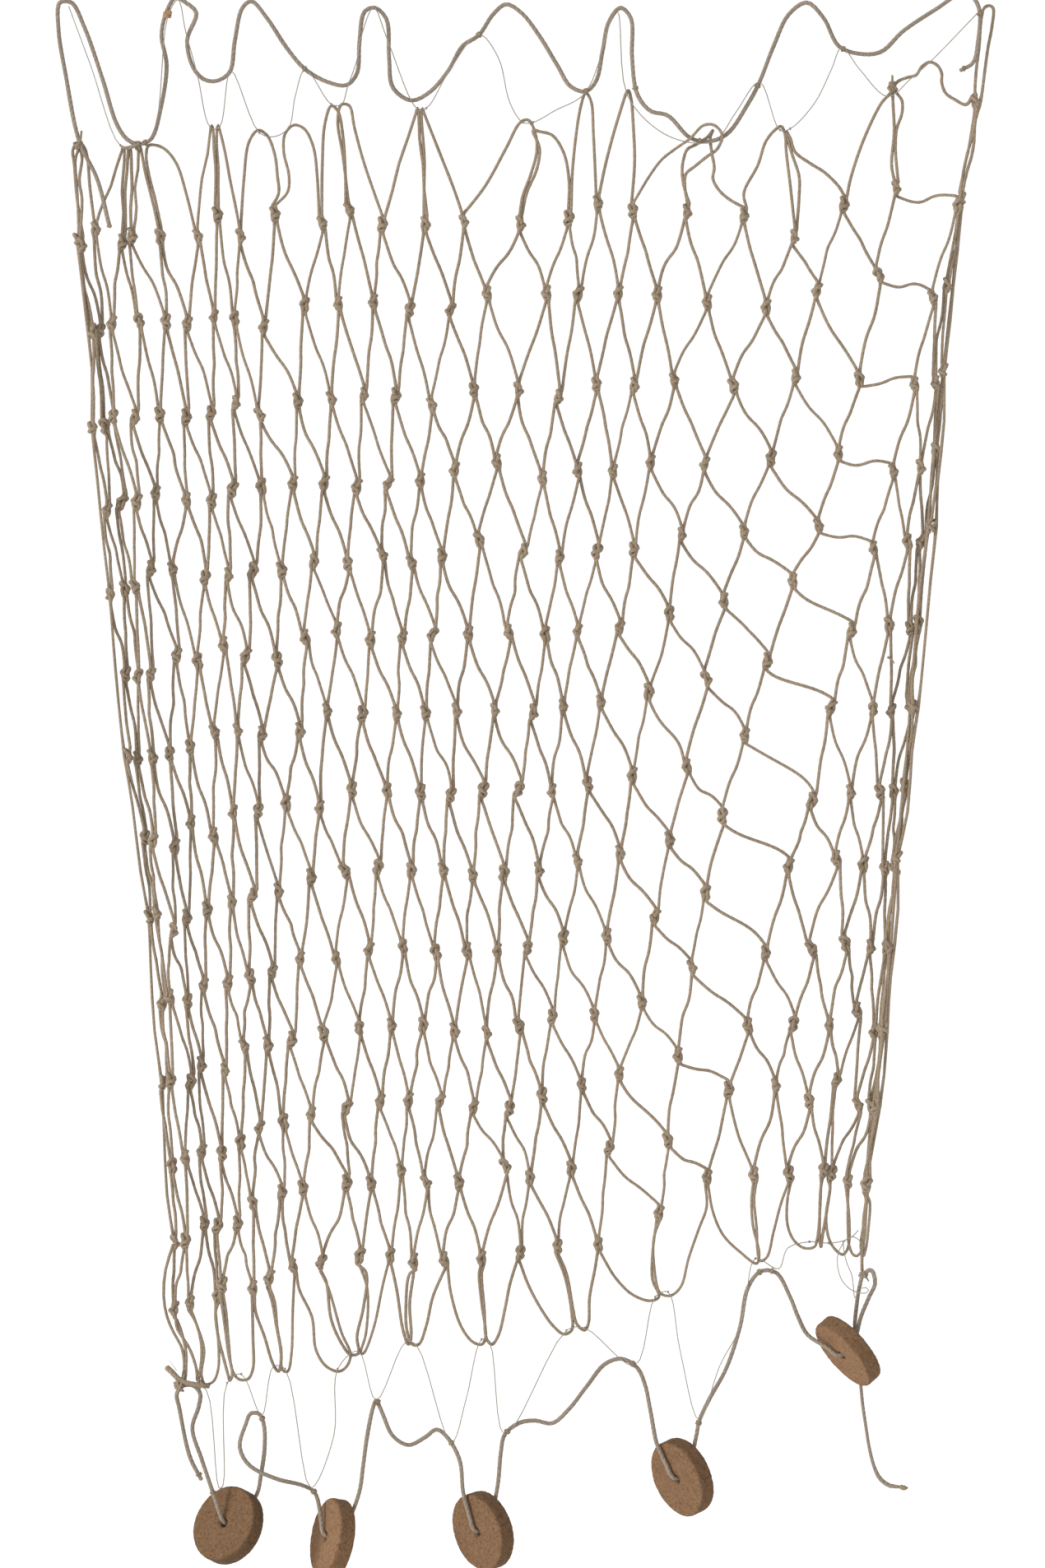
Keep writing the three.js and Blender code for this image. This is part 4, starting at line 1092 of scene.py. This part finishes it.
# The head's loops run over their crowns. Most are pinched where they are tied, with
# straight legs; the others are given by the points that they pass, as x and z, with the
# depth third where a twine crosses in front of the rope.
headLoops = {
    "pinch": (1.0, 3.2),  # half a pinched crown's width, and its drop to the shoulders
    "leg": (3, 0.7, (1, 0.6, 0)),  # bends in a straight leg, their size and their ways
    "passing": {
        0: [(-333, -160), (-334, -140), (-335, -118), (-332, -111), (-330, -117), (-332, -135),
            (-330, -150)],
        1: [(-334, -148), (-336, -123), (-337, -111), (-333, -105), (-329, -108), (-326, -116),
            (-324, -139)],
        5: [(-273, -150), (-278, -130), (-280, -115), (-278, -108), (-271, -108), (-264, -112),
            (-256, -123), (-249, -145)],
        8: [(-204, -134), (-200, -105), (-193, -96), (-186, -100), (-180, -115), (-178, -131),
            (-177, -145)],
        9: [(-170, -144), (-169, -131), (-173, -113), (-172, -99), (-165, -92), (-157, -95),
            (-150, -109), (-147, -132)],
        10: [(-143, -123), (-141, -91), (-136, -77), (-131, -81), (-127, -100), (-125, -132)],
        11: [(-127, -116), (-131, -88), (-128, -76), (-122, -77), (-118, -94), (-111, -120)],
        14: [(-16, -139), (0, -110), (11, -90), (17, -88), (22, -96), (24, -111), (19, -131),
             (13, -147)],
        15: [(16, -145), (24, -126), (26, -110), (21, -96), (26, -97), (36, -100), (45, -114),
             (49, -136)],
        16: [(52, -123), (58, -78), (62, -67), (66, -73), (68, -100)],
        17: [(78, -120), (88, -84), (95, -65), (97, -70), (99, -93), (100, -121)],
        18: [(112, -131), (121, -119), (131, -111), (143, -103, -3.4), (153, -93, -3.4),
             (160, -92, -3.4), (165, -95, -3.4), (168, -101, -3.4), (164, -111), (157, -116),
             (147, -124), (140, -130), (139, -138)],
        19: [(138, -138), (137, -127), (138, -119), (141, -111), (148, -107), (157, -101),
             (161, -96), (159, -101), (160, -113), (162, -125), (161, -134), (166, -143),
             (174, -150)],
        20: [(185, -145), (196, -123), (202, -105), (209, -96), (214, -93), (217, -99),
             (218, -113), (221, -138)],
        21: [(228, -148), (228, -132), (222, -113), (218, -97), (221, -102), (225, -113),
             (237, -122), (248, -129), (259, -140)],
        22: [(268, -134), (278, -104), (292, -75), (299, -67)],
    },
    "corner": (301, -62),
    "cornerDrop": [(301, -64), (301, -73), (302, -97), (300, -124), (303, -137)],
    "cornerRise": [(305, -137), (303, -111), (304, -95), (308, -83), (308, -73), (304, -67)],
    "cornerSlack": [(301, -63), (305, -58), (312, -55), (319, -53), (324, -46), (330, -43),
                    (336, -46), (339, -52), (339, -59), (342, -67), (349, -72), (358, -76)],
    "edgeLoop": [(365, -67), (366, -48), (368, -32), (370, -8), (372, -1), (376, 1), (379, -1),
                 (378, -16), (375, -32), (372, -54), (370, -69), (368, -78), (365, -90),
                 (364, -106), (362, -117), (359, -127), (356, -140)],
}
# The foot's bights, all given by the points that they pass, and the tails tied to the foot
# rope's corners.
footLoops = {
    "passing": {
        0: [(-256, -1028), (-246, -1045), (-241, -1060), (-240, -1069), (-238, -1061),
            (-237, -1043), (-241, -1025)],
        1: [(-241, -1025), (-235, -1045), (-237, -1065), (-234, -1072), (-228, -1070),
            (-224, -1060), (-224, -1038), (-226, -1015)],
        2: [(-226, -1015), (-224, -1035), (-220, -1051), (-216, -1066), (-215, -1069),
            (-213, -1065), (-216, -1048), (-219, -1025)],
        3: [(-218, -1015), (-216, -1038), (-213, -1061), (-208, -1068), (-201, -1068),
            (-197, -1060), (-197, -1035)],
        4: [(-195, -1015), (-188, -1035), (-181, -1057), (-177, -1062), (-175, -1051),
            (-179, -1025), (-182, -1008)],
        5: [(-180, -1008), (-178, -1028), (-175, -1045), (-174, -1061), (-170, -1062),
            (-167, -1048), (-166, -1015)],
        6: [(-161, -998), (-151, -1020), (-148, -1045), (-140, -1058), (-130, -1062),
            (-124, -1058), (-121, -1049), (-128, -1032), (-138, -998)],
        7: [(-140, -992), (-136, -1022), (-127, -1042), (-121, -1049), (-115, -1048),
            (-116, -1035), (-111, -1012), (-109, -985)],
        8: [(-108, -998), (-109, -1032), (-113, -1048), (-111, -1048), (-103, -1028),
            (-96, -995)],
        9: [(-85, -999), (-80, -1031), (-76, -1041), (-74, -1036), (-75, -1009), (-72, -986)],
        10: [(-75, -986), (-78, -1013), (-77, -1031), (-73, -1041), (-68, -1041), (-62, -1026),
            (-57, -1004)],
        11: [(-43, -1001), (-35, -1027), (-26, -1039), (-19, -1041), (-16, -1036), (-19, -1009),
             (-21, -986)],
        12: [(-19, -986), (-17, -1013), (-15, -1037), (-11, -1041), (-6, -1034), (-1, -1014),
             (3, -994)],
        13: [(17, -994), (27, -1013), (37, -1027), (45, -1033), (51, -1030), (51, -1016),
             (46, -989)],
        14: [(47, -986), (52, -1013), (55, -1025), (61, -1030), (64, -1025), (65, -1004),
             (69, -983)],
        15: [(77, -976), (85, -989), (98, -1002), (112, -1007), (119, -1004), (114, -991),
             (114, -970)],
        16: [(115, -958), (115, -978), (120, -1001), (128, -1003), (136, -996), (142, -974),
             (150, -951), (156, -934)],
        17: [(161, -938), (169, -956), (182, -969), (195, -978), (197, -971), (192, -948),
             (191, -928)],
        18: [(193, -928), (195, -951), (196, -971), (198, -976), (203, -973), (208, -954),
             (214, -931)],
        19: [(219, -928), (219, -948), (224, -960), (232, -966), (240, -965), (242, -959),
             (244, -941), (245, -918)],
        20: [(245, -918), (244, -941), (244, -958), (245, -965), (246, -958), (250, -934),
             (252, -918)],
        21: [(252, -921), (249, -941), (251, -958), (256, -967), (262, -971), (266, -966),
             (267, -944)],
        22: [(266, -928), (266, -951), (267, -964), (270, -971), (273, -972), (277, -967),
             (278, -944), (280, -925)],
        23: [(283, -930), (282, -950), (280, -966), (278, -972), (276, -965), (278, -948),
             (280, -930)],
    },
    "leftTail": [(-254, -1077), (-250, -1070), (-249, -1057), (-249, -1048), (-251, -1037),
                 (-256, -1022)],
    "rightTail": [(280, -938), (279, -955), (277, -970), (277, -984)],
    "outerTail": [(-259, -963), (-265, -983), (-266.5, -1003), (-264, -1019), (-258.6, -1032),
                  (-253, -1042), (-251, -1050), (-250.5, -1061), (-253, -1072), (-256, -1078)],
}


def flatRoute(points):
    return np.array([(p[0], p[2] if len(p) > 2 else hang["depth"], p[1]) for p in points], float)


# A smooth stretch through points between two exits, without its two ends.
def passing(start, points, end):
    return smoothPath(np.vstack([start, flatRoute(points), end]), 5)[1:-1]


# A nearly straight leg of twine, slightly bent at a few places, without its two ends.
def slackLeg(start, end):
    places, bend, across = headLoops["leg"]
    t = np.linspace(0, 1, places + 2)[1:-1, None]
    return start + (end - start) * t + draw.normal(0, bend, (places, 3)) * across


def pinchedLoop(crown, left, right):
    top = flatRoute([crown])[0]
    half, drop = headLoops["pinch"]
    shoulders = [top + (-half, 0, -drop), top, top + (half, 0, -drop)]
    return np.vstack([slackLeg(left, shoulders[0]), shoulders, slackLeg(shoulders[-1], right)])


def headTwine():
    knots = placed("bight", rowKnots[1], rowTurns[1])
    path = [knots[0, 5:]]
    last, corner = len(hang["crowns"]) - 1, flatRoute([headLoops["corner"]])[0]
    for j, crown in enumerate(hang["crowns"]):
        if j in headLoops["passing"]:
            end = knots[j + 1, 0] if j < last else corner
            path.append(passing(knots[j, -1], headLoops["passing"][j], end))
        else:
            path.append(pinchedLoop(crown, knots[j, -1], knots[j + 1, 0]))
        if j < last:
            path.append(knots[j + 1])
    path += [passing(corner, headLoops["cornerDrop"], knots[-2, 0]), knots[-2]]
    path += [passing(knots[-2, -1], headLoops["cornerRise"], corner)]
    path += [passing(corner, headLoops["cornerSlack"], knots[-1, 0]), knots[-1]]
    return np.vstack(path + [passing(knots[-1, -1], headLoops["edgeLoop"], rowKnots[2][-1])])


def footTwine():
    wraps = placed("wrap", rowKnots[hang["rows"]], rowTurns[hang["rows"]])
    path = [flatRoute(footLoops["leftTail"]), wraps[0]]
    for j, points in footLoops["passing"].items():
        path += [passing(wraps[j, -1], points, wraps[j + 1, 0]), wraps[j + 1]]
    return np.vstack(path + [flatRoute(footLoops["rightTail"])])


# The doubled edges: from their first row, strands run straight from one edge knot to the
# next but one, beside the knots' line and behind it, a little bowed.
edges = {0: {"first": 1, "strands": 1, "aside": 1.8, "behind": 1.5, "bow": 1.5},
         -1: {"first": 2, "strands": 2, "aside": 1.3, "behind": 1.5, "bow": 0.9}}


def edgeTwine(rows, side):
    facts = edges[side]
    stops = np.array([rowKnots[row][side] for row in rows])
    share = np.array([0.0, 0.3, 0.7])[None, :, None]
    spots = (stops[:-1, None] * (1 - share) + stops[1:, None] * share).reshape(-1, 3)
    spots = np.vstack([spots, stops[-1]])
    inside = np.ones((len(spots), 1))
    inside[[0, -1]] = 0
    aside = (draw.normal(0, facts["aside"]), facts["behind"], 0)
    return spots + inside * (draw.normal(0, facts["bow"], spots.shape) + aside)


# Lashings and loose ends of the twine: routes as x, z and depth with the radius at both
# ends, and coils as middle, axis, radius, pitch, turns and the twine's radius.
trimmings = {
    "nettingHead": {
        "routes": [
            [1.2, 0.9, (-334, -110, -3.4), (-331, -104, -3.6), (-330.5, -101, -3.4),
             (-330, -97, -3)],
            [1.2, 1.2, (-299, -109, 2), (-294, -110.5, -1), (-289, -109, -3.2),
             (-285, -107, -3.4)],
            [1.2, 0.9, (301, -66, 1), (300, -60, 0.5), (300.4, -57, 0.5), (300.4, -53.5, 0.5)],
        ],
        "coils": [
            [(-332.5, 0, -107.5), (-0.35, 0, 1), 3.0, 2.1, 2.1, 1.15],
            [(-287, 0, -108), (1, 0, 0.1), 3.0, 2.2, 1.6, 1.0],
            [(-308.3, -5, -171), (0.4, 0, 1), 1.2, 0.9, 1.6, 0.9],
            [(300.7, 2.5, -64), (1, 0, 0.5), 2.4, 2.2, 2.4, 1.25],
            [(300.5, 2, -60), (0.2, 0, 1), 2.0, 1.9, 1.6, 1.2],
        ],
    },
    "nettingMiddle": {
        "routes": [
            [1.1, 0.4, (297, -506, 3), (300, -508, 2), (302, -511, 1)],
        ],
        "coils": [],
    },
    "nettingFoot": {
        "routes": [
            [2.4, 1.8, (-264, -1058.5, -1), (-260, -1062, -1.8), (-255, -1067, -2.8),
             (-249, -1070.2, -3.4), (-243, -1071.4, -3.2), (-236, -1072.6, -2.2),
             (-231, -1073.4, 0)],
            [1.1, 1.1, (-259, -1062, -2), (-256, -1068, -4), (-254, -1074, -3.8),
             (-251, -1077, -1)],
            [1.0, 1.0, (-250, -1064, -1), (-252, -1070, -4.6), (-254, -1075, -3.6),
             (-256, -1080, -1)],
            [0.25, 0.15, (-256, -1061, -2.5), (-259, -1057, -2), (-262, -1053, -1)],
            [1.1, 0.6, (278, -984, -2), (279, -988, -3), (280.5, -989, -3.2), (282, -991.5, -3)],
            [0.9, 0.5, (-221, -946, 1), (-224, -949, 0), (-226, -950, 0)],
        ],
        "coils": [
            [(-254.5, 0.4, -1072), (-0.2, 0, 1), 3.3, 2.0, 2.3, 1.05],
            [(-238.5, 0, -1071.5), (1, 0, -0.3), 3.0, 2.0, 1.6, 1.05],
            [(278, 0, -986.5), (0.4, 0, 1), 2.9, 2.0, 1.9, 1.0],
        ],
    },
}


def trimmed(name):
    parts = []
    for fat, thin, *points in trimmings[name]["routes"]:
        line = smoothPath([(x, y, z) for x, z, y in points], 6)
        parts.append(tube(line * mm, np.linspace(fat, thin, len(line)) * mm, 7))
    for middle, *rest in trimmings[name]["coils"]:
        parts.append(coilRound(np.array(middle), *rest, sides=6))
    return parts


allKnots = np.vstack([rowKnots[row] for row in rowKnots])


# The soft twine is a little fatter where it is knotted.
def layTwine(path):
    line = smoothPath(path, 2)
    near = np.min(np.linalg.norm(line[:, None] - allKnots[None], axis=2), axis=1)
    (swell, reach), (amount, wave) = knotShape["swell"], knotShape["uneven"]
    size = knotShape["twine"] / 2 * (1 + swell * np.exp(-(near / reach) ** 4)
                                     + amount * np.sin(alongLength(line) * wave + path[0, 2]))
    return tube(line * mm, size * mm, 6)


twinePaths = [headTwine()] + [rowTwine(row) for row in range(1, hang["rows"])] + [footTwine()]
for name, rows in (("nettingHead", range(0, 5)), ("nettingMiddle", range(5, 10)),
                   ("nettingFoot", range(10, 15))):
    strands = [layTwine(twinePaths[row]) for row in rows]
    # an edge's strands go to every other row, on into the next piece's first
    for side, facts in edges.items():
        first = facts["first"]
        reach = range(max(first, rows[0] - (rows[0] - first) % 2), rows[-1] + 2, 2)
        strands += [layTwine(edgeTwine([row for row in reach if row <= hang["rows"]], side))
                    for _ in range(facts["strands"])]
    strands += trimmed(name)
    if name == "nettingFoot":
        strands.append(layTwine(flatRoute(footLoops["outerTail"])))
    piece = makePiece(name, strands, twine)
    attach(piece, "hung_net")
    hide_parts("netting")
    print(name, "made,", len(piece.data.polygons), "faces,",
          round(sum(alongLength(twinePaths[row])[-1] for row in rows) / 1000, 2), "m of twine")
